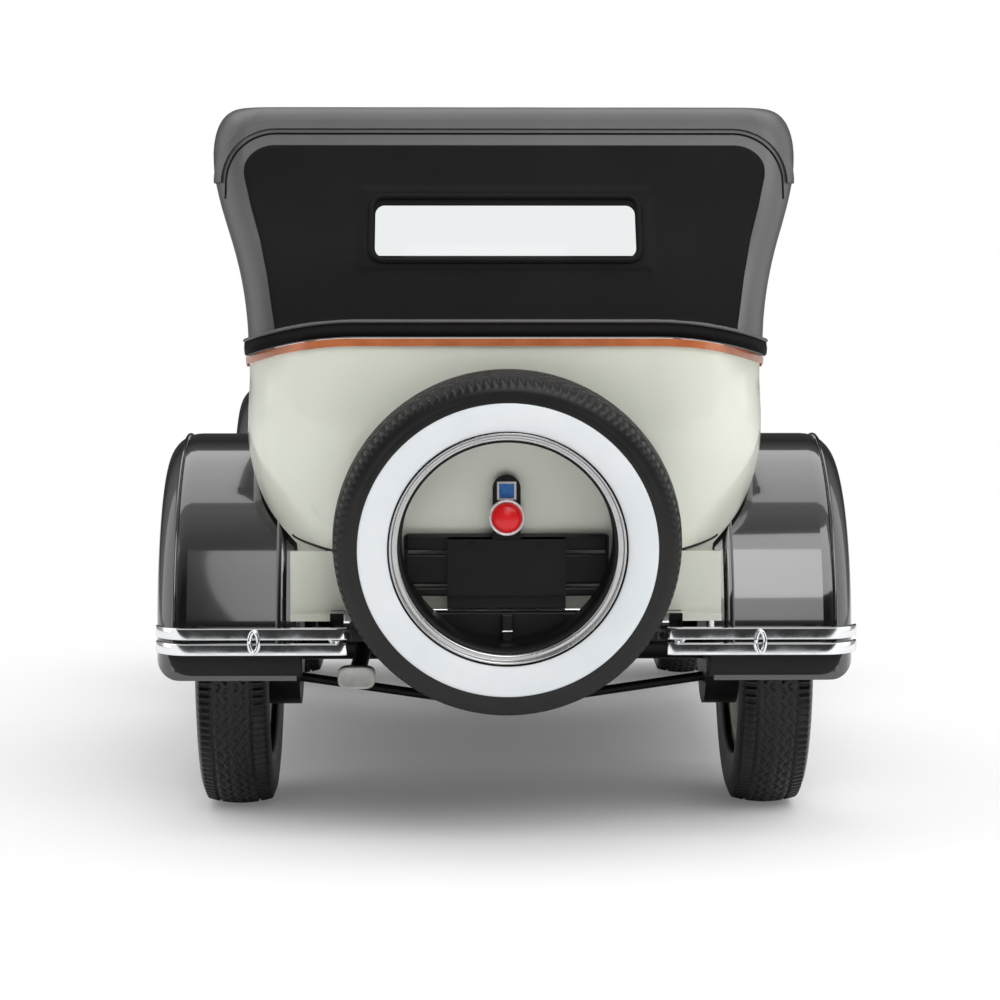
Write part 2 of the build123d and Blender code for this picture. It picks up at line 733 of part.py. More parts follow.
def spare_carrier():
    """Bracket behind the spare: slotted bar, two struts and a lower arc with its clamp."""
    bar_y = rear_axle_y + carrier_back
    half = rim_bore_d / 2 - 0.7
    bar = block(-half, half, bar_y, bar_y + carrier_t, carrier_z0, carrier_z1)
    for z in (carrier_z0 + 1.9, carrier_z1 - 2.3):
        for s in (-1, 1):
            x0, x1 = sorted((s * (plate_w / 2 + 0.6), s * (half - 0.8)))
            bar -= block(x0, x1, bar_y - 1, bar_y + 3, z, z + slot_h)
    for s in (-1, 1):
        x0, x1 = sorted((s * 10.4, s * 12.2))
        bar += block(x0, x1, bar_y - 1.0, bar_y - 0.1, rail_z0 + 0.5, carrier_z0 + 0.7)
        bar += block(x0, x1, bar_y - 1.0, bar_y + 0.7, carrier_z0 - 0.7, carrier_z0 + 0.7)
        bar += block(x0, x1, frame_rear_y - 4 + seat_gap, bar_y - 0.1, rail_z0 + 0.5, rail_z0 + 2.4)
        bar += block(x0, x1, bar_y, bar_y + 4.4, carrier_z0, carrier_z0 + 0.8)
    arc = ring(-rim_w / 2, -rim_w / 2 + 2.4, rim_bore_d - 2 * seat_gap, rim_bore_d - 2.6, 0, 0)
    arc = leaning(arc) & block(-60, 60, 90, 150, 0, carrier_z0 + 0.7)
    foot_z = spare_z - rim_bore_d / 2 + 1.6
    clamp = block(-1.5, 1.5, bar_y + 0.8, bar_y + carrier_t - 0.1, foot_z, carrier_z0 + 0.3)
    return bar + clamp + arc


def number_plate():
    """Blank plate with its two pins."""
    y = carrier_face_y
    plate = block(-plate_w / 2, plate_w / 2, y, y + plate_t, plate_z, plate_z + plate_h)
    pin_z = plate_z + plate_h - 0.9
    for x in (-plate_w * 0.29, plate_w * 0.29):
        plate += rod((x, y + plate_t - 0.1, pin_z), (x, y + plate_t + 0.3, pin_z), 0.7)
    return plate


def tail_lamp():
    """Black stand with a rounded top and the round lamp body."""
    y = carrier_face_y
    half = stand_w / 2
    bend_z = stand_top_z - half
    stand = block(-half, half, y, y + 0.8, plate_z + plate_h + seat_gap, bend_z)
    stand += rod((0, y, bend_z), (0, y + 0.8, bend_z), stand_w)
    return stand + rod((0, y, lamp_z), (0, y + lamp_reach, lamp_z), lamp_d)


def tail_lens():
    """Red dome of the lamp."""
    y = carrier_face_y + lamp_reach + seat_gap
    dome = Pos(0, y - 1.4, lamp_z) * Sphere(lens_d / 2 + 0.42)
    return dome & block(-9, 9, y, y + 9, 0, 90)


def bumper_bars(x0, x1, y, deep):
    """Two flat bars, one above the other."""
    tall = (bumper_z1 - bumper_z0 - 0.7) / 2
    low = block(x0, x1, y - deep, y, bumper_z0, bumper_z0 + tall)
    high = block(x0, x1, y - deep, y, bumper_z1 - tall, bumper_z1)
    return low + high


def bumper_clip(x, y):
    """Clip that holds the two bars together."""
    return block(x - clip_w / 2, x + clip_w / 2, y - 1.5, y + 0.3, bumper_z0 + 0.1, bumper_z1 - 0.1)


def rear_bumperettes():
    """Short double bars each side of the spare, on arms from the frame."""
    y = bumper_rear_y
    side = bumper_bars(bumper_gap_x0, bumper_x1, y, bumper_t) + bumper_clip(clip_x, y)
    arm_z1 = bumper_arm_z0 + bumper_arm_h
    x0, x1 = rail_x - rail_w / 2, rail_x + rail_w / 2
    side += block(x0, x1, frame_rear_y + seat_gap, y - 0.6, bumper_arm_z0, arm_z1)
    return both(side)


def front_bumper():
    """Full-width double bars on two arms."""
    y = bumper_front_y + bumper_t
    whole = bumper_bars(-bumper_x1, bumper_x1, y, bumper_t)
    for x in (-clip_x, 0, clip_x):
        whole += bumper_clip(x, y)
    arm_z1 = bumper_arm_z0 + bumper_arm_h
    for x in (-rail_front_x, rail_front_x):
        whole += block(x - 0.9, x + 0.9, y - 0.6, frame_front_y - 0.5 - seat_gap, bumper_arm_z0, arm_z1)
    return whole


def headlamps():
    """Two lamp bowls on a cross bar with posts to the frame."""
    z, y = headlamp_z, headlamp_y
    bar_z = z - 7.6
    whole = rod((-headlamp_x, y, bar_z), (headlamp_x, y, bar_z), 1.5)
    for s in (-1, 1):
        x = s * headlamp_x
        rim = rod((x, y - 2.4, z), (x, y, z), headlamp_d)
        back = Plane(origin=(x, y + 3.0, z), z_dir=(0, 1, 0))
        bowl = back * Cone(headlamp_d / 2, 1.6, 6.0)
        recess = rod((x, y - 2.5, z), (x, y - 1.7, z), headlamp_d - 1.2)
        whole += rim + bowl + rod((x, y, bar_z), (x, y, z), 1.4)
        whole -= recess
        whole += rod((s * rail_front_x, y, rail_z1 + seat_gap), (s * rail_front_x, y, bar_z), 1.4)
    return whole


def headlamp_lenses():
    """Two flat glasses in the lamp rims."""
    z, y = headlamp_z, headlamp_y
    d = headlamp_d - 1.2 - 2 * seat_gap
    left = rod((headlamp_x, y - 2.35, z), (headlamp_x, y - 1.75, z), d)
    return both(left)


# Inside and underneath
def floor():
    """Floor over the rails, narrow at the pedals and between the wheel arches."""
    side = [
        (17.8, firewall_y + wall + seat_gap), (28.0, scuttle_y), (30.0, rear_axle_y - rear_fender_r - 1.5),
        (rear_fender_in - fender_t - 0.4, rear_axle_y - rear_fender_r - 1.0),
        (rear_fender_in - fender_t - 0.4, rear_axle_y + 31.4),
    ]
    face = make_face(Polyline(*side, *[(-x, y) for x, y in reversed(side)], close=True))
    return extrude(Plane.XY.offset(floor_z) * face, floor_t)


def seat(y0, y1, half, back_lean):
    """Cushion on its box and a leaning backrest, as two solids."""
    z0 = floor_z + floor_t + seat_gap
    base = side_plate([(y0, z0), (y1 - 3, z0), (y1 - 3, z0 + 10.4), (y0, z0 + 12.4)], -half, half)
    z1 = z0 + 10.8
    top_y, top_z = y1 + back_lean, z0 + 28
    foot = [(y1 - 6.5, z1 + 1.5), (y1 - 2.8, z1 + 0.2), (y1 - 2.8, z0), (y1, z0)]
    back = foot + [(top_y, top_z), (top_y - 4, top_z)]
    rest = side_plate(back, -half, half)
    return Compound([*base.solids(), *rest.solids()])


def dashboard():
    """Panel below the windscreen with three round dials."""
    y = scuttle_y + seat_gap
    half = tub_levels[3][1] - front_taper - wall - 1.0
    panel = block(-half, half, y, y + 1.2, 57.4, belt_z + bead_t - seat_gap)
    for x, d in ((8.0, 5.0), (0.0, 4.0), (-8.0, 5.0)):
        panel += rod((x, y + 1.1, 62.2), (x, y + 1.6, 62.2), d)
    return panel


def steering_column():
    """Column with the steering wheel on top, on the left-hand side."""
    foot = Vector(15.0, firewall_y + wall + 1.4, 42.0)
    head = Vector(15.0, -8.0, 61.0)
    plane = Plane(origin=head, z_dir=head - foot)
    whole = rod(foot, head, 1.5)
    whole += extrude(plane * (Circle(8.6) - Circle(7.4)), 1.1)
    whole += plane * Cylinder(1.5, 1.3)
    for i in range(4):
        turn = 2 * pi * (i + 0.5) / 4
        tip = plane * Pos(8.0 * cos(turn), 8.0 * sin(turn), 0)
        whole += rod(head, tip.position, 0.9)
    return whole


def levers():
    """Gear lever and hand brake on the floor."""
    z = floor_z + floor_t + seat_gap
    whole = []
    for x, y, h in ((0.0, -14.0, 16.0), (-3.6, -16.0, 13.0)):
        stick = rod((x, y, z), (x, y + 5.0, z + h), 1.1) + Pos(x, y + 5.0, z + h) * Sphere(1.2)
        stick += rod((x, y, z), (x, y, z + 0.8), 3.2)
        whole.append(stick & block(-60, 60, -60, 60, z, 90))
    return Compound([solid for stick in whole for solid in stick.solids()])


def engine():
    """Engine and gearbox as one plain block between the rails."""
    block_z0 = rail_z0 + 2.6 + seat_gap
    body = block(-7.5, 7.5, engine_y0, engine_y1, block_z0, engine_top_z)
    body += block(-5.0, 5.0, engine_y1, firewall_y - seat_gap, block_z0, 37.0)
    return body + block(-3.0, 3.0, engine_y1, gearbox_y1, block_z0, floor_z - 2 * seat_gap)


def exhaust():
    """Pipe from the engine under the frame, over the axle and down to its flattened end."""
    x = 19.0
    low = rail_z0 - 2.6
    high = rail_z0 + 2.8
    tip_y = rear_axle_y + 20.0
    points = [
        (8.8, -64.0, low + 6.0), (12.0, -57.0, low), (x, -47.0, low), (x, 50.0, low),
        (x, 62.0, high), (x, 85.0, high), (21.5, tip_y - 4.0, 21.6), (21.5, tip_y, 21.3),
    ]
    path = FilletPolyline(*points, radius=[2, 4, 8, 5, 3, 1.5])
    pipe = sweep(Plane(origin=path @ 0, z_dir=path % 0) * Circle(1.2), path=path)
    tip = Plane.XZ.offset(-tip_y) * RectangleRounded(5.2, 3.05, 1.1)
    pipe += Pos(21.5, 0, 21.3) * extrude(tip, 2.4)
    return pipe + rod((x, -12.0, low), (x, 14.0, low), 5.6)


# Windscreen and top
def windscreen_frame():
    """Upright frame on the cowl, with a bar between its two panes."""
    half = screen_half
    y0, y1 = scuttle_y + seat_gap, scuttle_y + 1.45
    z0 = belt_z + bead_t + seat_gap
    whole = block(-half, half, y0, y1, z0, screen_z1)
    middle = screen_z1 - upper_pane_h
    clear = half - screen_bar
    low, high = z0 + screen_bar, screen_z1 - screen_bar
    whole -= block(-clear, clear, y0 - 1, y1 + 1, low, middle - 0.5)
    whole -= block(-clear, clear, y0 - 1, y1 + 1, middle + 0.5, high)
    for s in (-1, 1):
        x0, x1 = sorted((s * clear, s * half))
        whole += block(x0, x1, y0, y1, belt_z + seat_gap, z0 + 1)
    return whole


def windscreen_glass():
    """Two panes set in the frame."""
    half = screen_half - screen_bar - seat_gap
    y = scuttle_y + 0.4
    z0 = belt_z + bead_t + screen_bar + 2 * seat_gap
    z1 = screen_z1 - screen_bar - seat_gap
    middle = screen_z1 - upper_pane_h
    low = block(-half, half, y, y + glass_t, z0, middle - 0.5 - seat_gap)
    high = block(-half, half, y, y + glass_t, middle + 0.5 + seat_gap, z1)
    return Compound([*low.solids(), *high.solids()])


# Top: columns are share of the height over the belt, rear half-width, tail behind the axle, front set-back
top_levels = [
    (-0.027, 36.3, 38.0, 0.0),
    (0.254, 36.7, 33.6, 0.0),
    (0.527, 39.6, 27.4, 0.0),
    (0.832, 42.2, 20.8, 0.0),
    (0.9385, 41.4, 18.8, 0.6),
    (1.0, 37.2, 14.8, 4.0),
]
top_corner = 4.6
top_wide = top_levels[3][1]


def top_outline(level, inset, drop=0.0):
    """Plan outline of the top at one level, moved inwards by the inset and down by the drop."""
    share, half, tail, front = level
    shy = top_wide - half if share > 0.8 else 0
    side = [
        (roof_front_half - shy - inset, roof_front_y + front + inset),
        (half - inset, rear_axle_y + tail - inset),
    ]
    points = side + [(-x, y) for x, y in reversed(side)]
    outline = FilletPolyline(*points, radius=[top_corner - inset] * 4, close=True)
    return Plane.XY.offset(belt_z + share * top_h - drop) * make_face(outline)


def top_seams(outer):
    """Raised lines on the top: the window's frame, the seam under the roof's edge and the hem."""
    proud = loft([top_outline(level, -seam_out) for level in top_levels]) - outer
    grow = window_frame
    half, z0, z1 = window_w / 2, window_z0, window_z0 + window_h
    frame_area = block(-half - grow, half + grow, rear_axle_y, tail_y + 9, z0 - grow, z1 + grow)
    seam_top = belt_z + seam_share * top_h
    low_z = seam_top - seam_round
    tall = 2 * seam_round + 6
    outline = RectangleRounded(2 * top_wide - 0.8, tall, seam_round)
    outline -= RectangleRounded(2 * top_wide - 0.8 - 2 * seam_h, tall - 2 * seam_h, seam_round - seam_h)
    seam_y = rear_axle_y + top_levels[-1][2]
    outline = Pos(0, seam_top - tall / 2) * outline
    seam_area = extrude(Plane.XZ.offset(-tail_y - 9) * outline, tail_y + 9 - seam_y)
    seam_area = seam_area & block(-60, 60, seam_y, tail_y + 9, low_z, roof_z)
    hem_area = crown_line(bead_t + seat_gap) - crown_line(bead_t + hem_h)
    hem_area = hem_area & block(-60, 60, quarter_y + 4, tail_y + 9, belt_z, roof_z)
    return [proud & frame_area, proud & seam_area, proud & hem_area]


def top_canopy():
    """Moulded soft top: roof, quarters and back panel with its window, open at the sides."""
    outer = loft([top_outline(level, 0) for level in top_levels])
    drops = [top_t * max(0, i - 2) / 3 for i in range(len(top_levels))]
    inner = loft([top_outline(level, top_t, drop) for level, drop in zip(top_levels, drops)])
    foot = extrude(top_outline(top_levels[0], top_t), -4)
    shell = outer - inner - foot
    for line in top_seams(outer):
        shell += line
    shell = shell & crown_line(bead_t + seat_gap)
    front = roof_front_y - 5
    rear = [(quarter_y - 6.0, eaves_z), (quarter_y, belt_z - 4), (quarter_y, 50)]
    shell -= side_plate([(front, 50), (front, eaves_z), *rear], -60, 60)
    window = block(-window_w / 2, window_w / 2, rear_axle_y, tail_y + 9, window_z0, window_z0 + window_h)
    return shell - window


def top_bows():
    """Two wooden bows under the roof with their side irons."""
    bows = []
    for y in (6.0, 46.0):
        share = (y - roof_front_y) / (rear_axle_y + top_levels[3][2] - roof_front_y)
        half = roof_front_half + (top_wide - roof_front_half) * share - top_t - 4.2
        z = roof_z - top_t - 0.3
        bows.append(block(-half, half, y - 1.0, y + 1.0, z - 1.6, z))
    return Compound([solid for bow in bows for solid in bow.solids()])


# Every sub-part and the file that holds it
def nodes():
    """Name and solid of each sub-part."""
    tub = make_tub()
    parts = {
        "chassis_frame": frame(),
        "leaf_springs": springs(),
        "rear_axle": rear_axle(),
        "front_axle": front_axle(),
        "engine_block": engine(),
        "exhaust": exhaust(),
        "front_fenders": both(front_fender()),
        "rear_fenders": both(rear_fender()),
        "splash_aprons": both(splash_apron()),
        "running_boards": both(running_board()),
        "body_cowl": cowl(),
        "body_sides": body_side(tub),
        "body_tonneau": body_tonneau(tub),
        "belt_bead": belt_bead(),
        "bonnet_sills": bonnet_sills(),
        "radiator_shell": radiator_shell(),
        "radiator_core": radiator_core(),
        "headlamps": headlamps(),
        "headlamp_lenses": headlamp_lenses(),
        "front_bumper": front_bumper(),
        "floor": floor(),
        "front_seat": seat(0.5, 19.0, 28.6, 1.0),
        "rear_seat": seat(77.0, 98.0, 27.4, 4.5),
        "dashboard": dashboard(),
        "steering_column": steering_column(),
        "levers": levers(),
        "windscreen_frame": windscreen_frame(),
        "windscreen_glass": windscreen_glass(),
        "top_canopy": top_canopy(),
        "top_bows": top_bows(),
        "spare_tyre": leaning(tyre_ring(0, 0, 0)),
        "spare_rim": spare_rim(),
        "spare_carrier": spare_carrier(),
        "number_plate": number_plate(),
        "tail_lamp": tail_lamp(),
        "tail_lens": tail_lens(),
        "rear_bumperettes": rear_bumperettes(),
        "tie_rod": tie_rod(),
    }
    sided = {
        "door_front": door(tub, front_door_y0, front_door_y1),
        "door_rear": door(tub, rear_door_y0, rear_door_y1),
        "bonnet": bonnet_half(),
        "knuckle": knuckle(),
    }
    for place, y in (("front", front_axle_y), ("rear", rear_axle_y)):
        sided[f"wheel_{place}"] = wheel(y, axle_z)
        sided[f"tyre_{place}"] = tyre_ring(y, axle_z, wheel_x)
    for name, left in sided.items():
        parts[f"{name}_left"] = left
        parts[f"{name}_right"] = mirror(left, Plane.YZ)
    return parts


os.makedirs("parts", exist_ok=True)
for name, shape in nodes().items():
    export_step(shape, f"parts/{name}.step")
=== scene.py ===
import json
import math

import bmesh
import bpy
import numpy as np
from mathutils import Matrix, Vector
from mathutils.bvhtree import BVHTree


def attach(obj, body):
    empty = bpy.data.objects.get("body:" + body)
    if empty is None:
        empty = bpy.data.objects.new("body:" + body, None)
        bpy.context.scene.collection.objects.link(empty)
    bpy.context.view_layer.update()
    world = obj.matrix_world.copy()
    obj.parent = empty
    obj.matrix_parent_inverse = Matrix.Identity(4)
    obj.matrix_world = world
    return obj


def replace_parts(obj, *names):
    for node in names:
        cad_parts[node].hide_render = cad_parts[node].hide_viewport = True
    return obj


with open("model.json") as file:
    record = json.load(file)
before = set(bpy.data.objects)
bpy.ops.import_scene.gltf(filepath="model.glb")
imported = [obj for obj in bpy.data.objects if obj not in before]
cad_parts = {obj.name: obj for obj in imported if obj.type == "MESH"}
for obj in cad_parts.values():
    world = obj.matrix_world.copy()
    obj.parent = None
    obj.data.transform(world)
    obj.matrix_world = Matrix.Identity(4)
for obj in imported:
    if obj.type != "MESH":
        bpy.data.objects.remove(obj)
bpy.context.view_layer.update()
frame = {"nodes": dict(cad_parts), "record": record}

# The shapes below are worked out in millimetres, like the car's drawings
MM = 0.001

# Camera: behind the car, a little to its left, looking slightly down
CAMERA_X, CAMERA_Y, CAMERA_Z = 7.6, 524.2, 74.6
YAW, PITCH = math.radians(0.93), math.radians(3.66)
LENS = 106.9

# Places shared with the frame, in millimetres
WHEELBASE, REAR_Y, AXLE_Z, WHEEL_X = 161.0, 75.2, 24.0, 39.5
FRONT_Y = REAR_Y - WHEELBASE
TYRE_R, RIM_R = 24.0, 16.4
SPARE_Y, SPARE_Z, SPARE_LEAN = REAR_Y + 43.0, 42.75, math.radians(9.0)
TAIL_LAMP_Y, TAIL_LAMP_Z, TAIL_LENS_R = 113.9, 45.9, 2.12
HEADLAMP_X, HEADLAMP_Y, HEADLAMP_Z, HEADLAMP_R = 21.5, -102.5, 46.5, 5.9
BUMPER_ROWS = ((27.2, 28.85), (29.35, 31.0))
REAR_BAR_Y, FRONT_BAR_Y, CLIP_X, CLIP_Z = 118.4, 126.0, 34.8, 29.1
BELT_Z, BONNET_BELT_Z, HANDLE_Z = 65.2, 57.8, 61.2
FLOOR_TOP_Z = 33.75
# The top's tail and the hem on it lie behind these places; depths are read this far out or further
TAIL_FROM_Y, HEM_FROM_Y, CLEAR_X = 80, 102, 24.0

# Search trees of the frame's nodes, one for each node that a piece is set on
TREES = {}


# Mesh helpers
def put_mesh(name, points, quads, material, body, smooth=True):
    """Object from an array of points in millimetres and an array of four-cornered faces."""
    points = np.asarray(points, dtype=np.float64).reshape(-1, 3) * MM
    quads = np.asarray(quads, dtype=np.int32).reshape(-1, 4)
    mesh = bpy.data.meshes.new(name)
    mesh.vertices.add(len(points))
    mesh.vertices.foreach_set("co", points.astype(np.float32).ravel())
    mesh.loops.add(quads.size)
    mesh.loops.foreach_set("vertex_index", quads.ravel())
    mesh.polygons.add(len(quads))
    mesh.polygons.foreach_set("loop_start", np.arange(0, quads.size, 4, dtype=np.int32))
    mesh.polygons.foreach_set("use_smooth", np.full(len(quads), smooth))
    mesh.update(calc_edges=True)
    mesh.validate()
    piece = bpy.data.objects.new(name, mesh)
    bpy.context.collection.objects.link(piece)
    mesh.materials.append(material)
    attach(piece, body)
    return piece


def grid_quads(rows, columns, close_rows=False, close_columns=False, start=0):
    """Faces of a grid of points, wrapping round where it closes on itself."""
    i = np.arange(rows if close_rows else rows - 1)[:, None]
    j = np.arange(columns if close_columns else columns - 1)[None, :]
    i2, j2 = (i + 1) % rows, (j + 1) % columns
    corners = [i * columns + j, i2 * columns + j, i2 * columns + j2, i * columns + j2]
    return start + np.stack(np.broadcast_arrays(*corners), axis=-1).reshape(-1, 4)


def capped(points):
    """Rings of points closed by their own middles: the first and last ring each shrink to a point."""
    heart = points.mean(axis=1, keepdims=True)
    around = points.shape[1]
    return np.concatenate([np.repeat(heart[:1], around, 1), points, np.repeat(heart[-1:], around, 1)])


def tidy(piece, merge=0.0):
    """Merges doubled points and turns every face outwards."""
    work = bmesh.new()
    work.from_mesh(piece.data)
    if merge:
        bmesh.ops.remove_doubles(work, verts=work.verts, dist=merge * MM)
    bmesh.ops.recalc_face_normals(work, faces=work.faces)
    work.to_mesh(piece.data)
    work.free()
    return piece


# Material helpers
def linear(hexcode):
    """Linear red, green, blue and alpha of an sRGB hex colour."""
    channels = [int(hexcode[i:i + 2], 16) / 255 for i in (0, 2, 4)]
    return (*[c / 12.92 if c <= 0.04045 else ((c + 0.055) / 1.055) ** 2.4 for c in channels], 1.0)


def add(owner, kind, links=(), **settings):
    """One node of a material or world with its settings; each link is (input, node, output)."""
    node = owner.node_tree.nodes.new(kind)
    for key, value in settings.items():
        if key.startswith("in_"):
            name = key[3:].replace("_", " ")
            node.inputs[int(name) if name.isdigit() else name].default_value = value
        else:
            setattr(node, key, value)
    for into, source, out in links:
        owner.node_tree.links.new(node.inputs[into], source.outputs[out])
    return node


def new_material(name, colour, roughness, metallic=0.0, **sockets):
    """Principled material with its constants set on the shader's own sockets."""
    material = bpy.data.materials.new(name)
    material.use_nodes = True
    shader = material.node_tree.nodes["Principled BSDF"]
    shader.inputs["Base Color"].default_value = linear(colour)
    shader.inputs["Roughness"].default_value = roughness
    shader.inputs["Metallic"].default_value = metallic
    for key, value in sockets.items():
        shader.inputs[key.replace("_", " ")].default_value = value
    return material


def shader_of(material):
    """The material's Principled shader."""
    return material.node_tree.nodes["Principled BSDF"]


def join_to(material, socket, node, output):
    """Links a node's output to one of the shader's sockets."""
    material.node_tree.links.new(shader_of(material).inputs[socket], node.outputs[output])


def patches(material, size_mm, detail):
    """Irregular pale and dark patches size_mm across, fixed to the piece."""
    where = add(material, "ShaderNodeTexCoord")
    return add(material, "ShaderNodeTexNoise", [("Vector", where, "Object")],
               in_Scale=1.0 / (size_mm * MM), in_Detail=detail)


def grain(material, size_mm, strength, distance_mm):
    """Fine bump whose bumps are size_mm across."""
    noise = patches(material, size_mm, 3.0)
    bump = add(material, "ShaderNodeBump", [("Height", noise, 0)],
               in_Strength=strength, in_Distance=distance_mm * MM)
    join_to(material, "Normal", bump, "Normal")


def leather(material, size_mm, strength, distance_mm):
    """Bump of rounded cells size_mm across, as on embossed vinyl."""
    where = add(material, "ShaderNodeTexCoord")
    cells = add(material, "ShaderNodeTexVoronoi", [("Vector", where, "Object")],
                in_Scale=1.0 / (size_mm * MM))
    bump = add(material, "ShaderNodeBump", [("Height", cells, "Distance")],
               in_Strength=strength, in_Distance=distance_mm * MM)
    join_to(material, "Normal", bump, "Normal")


def vary(material, low, high, size_mm):
    """Slow variation of the roughness between low and high."""
    noise = patches(material, size_mm, 4.0)
    spread = add(material, "ShaderNodeMapRange", [("Value", noise, 0)],
                 in_From_Min=0.3, in_From_Max=0.7, in_To_Min=low, in_To_Max=high)
    join_to(material, "Roughness", spread, "Result")


def two_tones(material, low, high, size_mm, detail=4.0):
    """Slow mottling of the colour between two close tones."""
    noise = patches(material, size_mm, detail)
    ramp = add(material, "ShaderNodeValToRGB", [("Fac", noise, 0)])
    for element, position, colour in zip(ramp.color_ramp.elements, (0.35, 0.65), (low, high)):
        element.position = position
        element.color = linear(colour)
    join_to(material, "Base Color", ramp, "Color")


# Finishes
def make_materials():
    """Every finish on the car by its slot's name, and by its own where two finishes share a slot."""
    found = {}

    # Gloss black enamel on zinc: a clear coat over near-black, with a faint orange peel
    black = new_material("black_enamel", "0b0b0c", 0.12, Coat_Weight=1.0, Coat_Roughness=0.03,
                         Coat_IOR=1.6, Specular_IOR_Level=0.6)
    two_tones(black, "0a0a0b", "0e0e10", 14.0)
    grain(black, 5.0, 0.06, 0.05)
    found["black_paint"] = black

    # Cream enamel on zinc: warm white with a slight green cast, high gloss
    cream = new_material("cream_enamel", "d3d6c9", 0.22, Coat_Weight=0.7, Coat_Roughness=0.05)
    two_tones(cream, "d1d4c6", "d6d9cc", 22.0)
    grain(cream, 2.6, 0.06, 0.05)
    found["cream_paint"] = cream
    found["spoke_paint"] = cream

    # Copper-orange enamel line painted on the raised bead
    copper = new_material("copper_enamel", "b8683a", 0.25, Coat_Weight=1.0, Coat_Roughness=0.06)
    two_tones(copper, "a85a2e", "b8693b", 3.0)
    grain(copper, 0.8, 0.1, 0.03)
    found["copper_paint"] = copper

    # Vacuum-plated ABS: bright and a little soft at the edges
    chrome = new_material("plated_abs", "e6e8ea", 0.07, 1.0)
    vary(chrome, 0.04, 0.12, 3.0)
    grain(chrome, 1.5, 0.04, 0.02)
    found["chrome_plating"] = chrome

    # Satin black ABS of the chassis and carrier
    satin = new_material("satin_abs", "0d0d0e", 0.42, Specular_IOR_Level=0.25)
    two_tones(satin, "0b0b0c", "101011", 9.0)
    grain(satin, 0.35, 0.18, 0.02)
    found["black_plastic"] = satin

    # Black moulded running board with ribs
    board = new_material("ribbed_abs", "101011", 0.5, Specular_IOR_Level=0.3)
    two_tones(board, "0d0d0e", "131314", 7.0)
    grain(board, 0.4, 0.25, 0.03)
    found["board_plastic"] = board

    # Flat silver paint on the tailpipe
    silver = new_material("flat_silver_paint", "c2c2be", 0.5, 0.35)
    two_tones(silver, "b6b6b1", "cbcbc7", 1.6)
    grain(silver, 0.4, 0.25, 0.03)
    found["silver_paint"] = silver

    # Clear styrene of the windscreen and lamp glasses
    clear = new_material("clear_styrene", "f4f7f7", 0.03, Transmission_Weight=1.0, IOR=1.49)
    vary(clear, 0.02, 0.06, 8.0)
    found["clear_plastic"] = clear

    # Brown vinyl of the seats, with a leather grain
    vinyl = new_material("brown_vinyl", "4a2e22", 0.45)
    two_tones(vinyl, "432a1f", "543528", 6.0)
    leather(vinyl, 0.55, 0.45, 0.05)
    found["seat_vinyl"] = vinyl

    # Varnished brown wood of the dashboard and bows
    wood = new_material("varnished_wood", "5a3420", 0.35, Coat_Weight=0.4, Coat_Roughness=0.12)
    two_tones(wood, "4c2a19", "6c4228", 2.5, 8.0)
    grain(wood, 0.5, 0.12, 0.02)
    found["wood_brown"] = wood

    # Satin moulded top with the fine grain of cloth: painted sheen, its black lightened to a charcoal that
    # stands in for the light it catches from above; the rear curtain keeps the darker black
    top = new_material("moulded_top_painted_sheen", "383839", 0.42, Specular_IOR_Level=0.9)
    two_tones(top, "3a3a3b", "3f3f40", 16.0)
    grain(top, 0.3, 0.2, 0.02)
    found["top_plastic"] = top

    # Flat black of the rear curtain: painted shade, the darker copy of the top's black laid on the tail that
    # faces away from the light; the hem, window frame and roof seam share it
    curtain = new_material("curtain_shade_black", "0a0a0b", 0.6, Specular_IOR_Level=0.12)
    two_tones(curtain, "080809", "0c0c0d", 11.0)
    grain(curtain, 0.3, 0.3, 0.02)
    found["curtain_shade_black"] = curtain

    # Tyre rubber: dark, slightly brown, soft sheen
    rubber = new_material("tyre_rubber", "0c0c0c", 0.38, Specular_IOR_Level=0.35)
    two_tones(rubber, "0c0c0c", "131312", 5.0)
    grain(rubber, 0.3, 0.25, 0.02)
    found["tyre_rubber"] = rubber

    # White rubber band, slightly blue in the shade
    band = new_material("white_rubber", "d6dade", 0.45)
    two_tones(band, "d3d8dc", "dadde0", 9.0)
    grain(band, 0.6, 0.08, 0.02)
    found["white_rubber"] = band

    # Plated rim of the spare wheel, brushed round its edge
    plated = new_material("rim_plating", "b4b4b5", 0.22, 1.0)
    vary(plated, 0.16, 0.3, 2.0)
    grain(plated, 1.6, 0.03, 0.01)
    found["rim_plating"] = plated

    # Pale plated ring of the tail lamp
    pale = new_material("pale_ring", "d9d0d0", 0.35, 0.4)
    two_tones(pale, "d2c8c8", "e2dada", 0.6)
    grain(pale, 0.5, 0.08, 0.02)
    found["pale_ring"] = pale

    # Blue enamel of the bare badge
    blue = new_material("badge_blue", "2d62a6", 0.2, Coat_Weight=0.6, Coat_Roughness=0.05)
    two_tones(blue, "27599b", "3a72b5", 0.8)
    grain(blue, 0.5, 0.06, 0.02)
    found["badge_blue"] = blue

    # Red styrene of the tail lamp
    red = new_material("red_styrene", "d8131b", 0.3, Coat_Weight=0.25, Coat_Roughness=0.05,
                       Specular_IOR_Level=0.3)
    two_tones(red, "d01018", "de161e", 1.5)
    grain(red, 0.6, 0.05, 0.02)
    found["red_plastic"] = red
    return found


def dress_frame(found):
    """Gives each node of the frame the finish of its slot; the exhaust ahead of its silver end is black."""
    slots = {row["node"]: row["material_slot"] for row in frame["record"]["subparts"]}
    for name, node in frame["nodes"].items():
        node.data.materials.clear()
        node.data.materials.append(found["black_plastic" if name == "exhaust" else slots[name]])


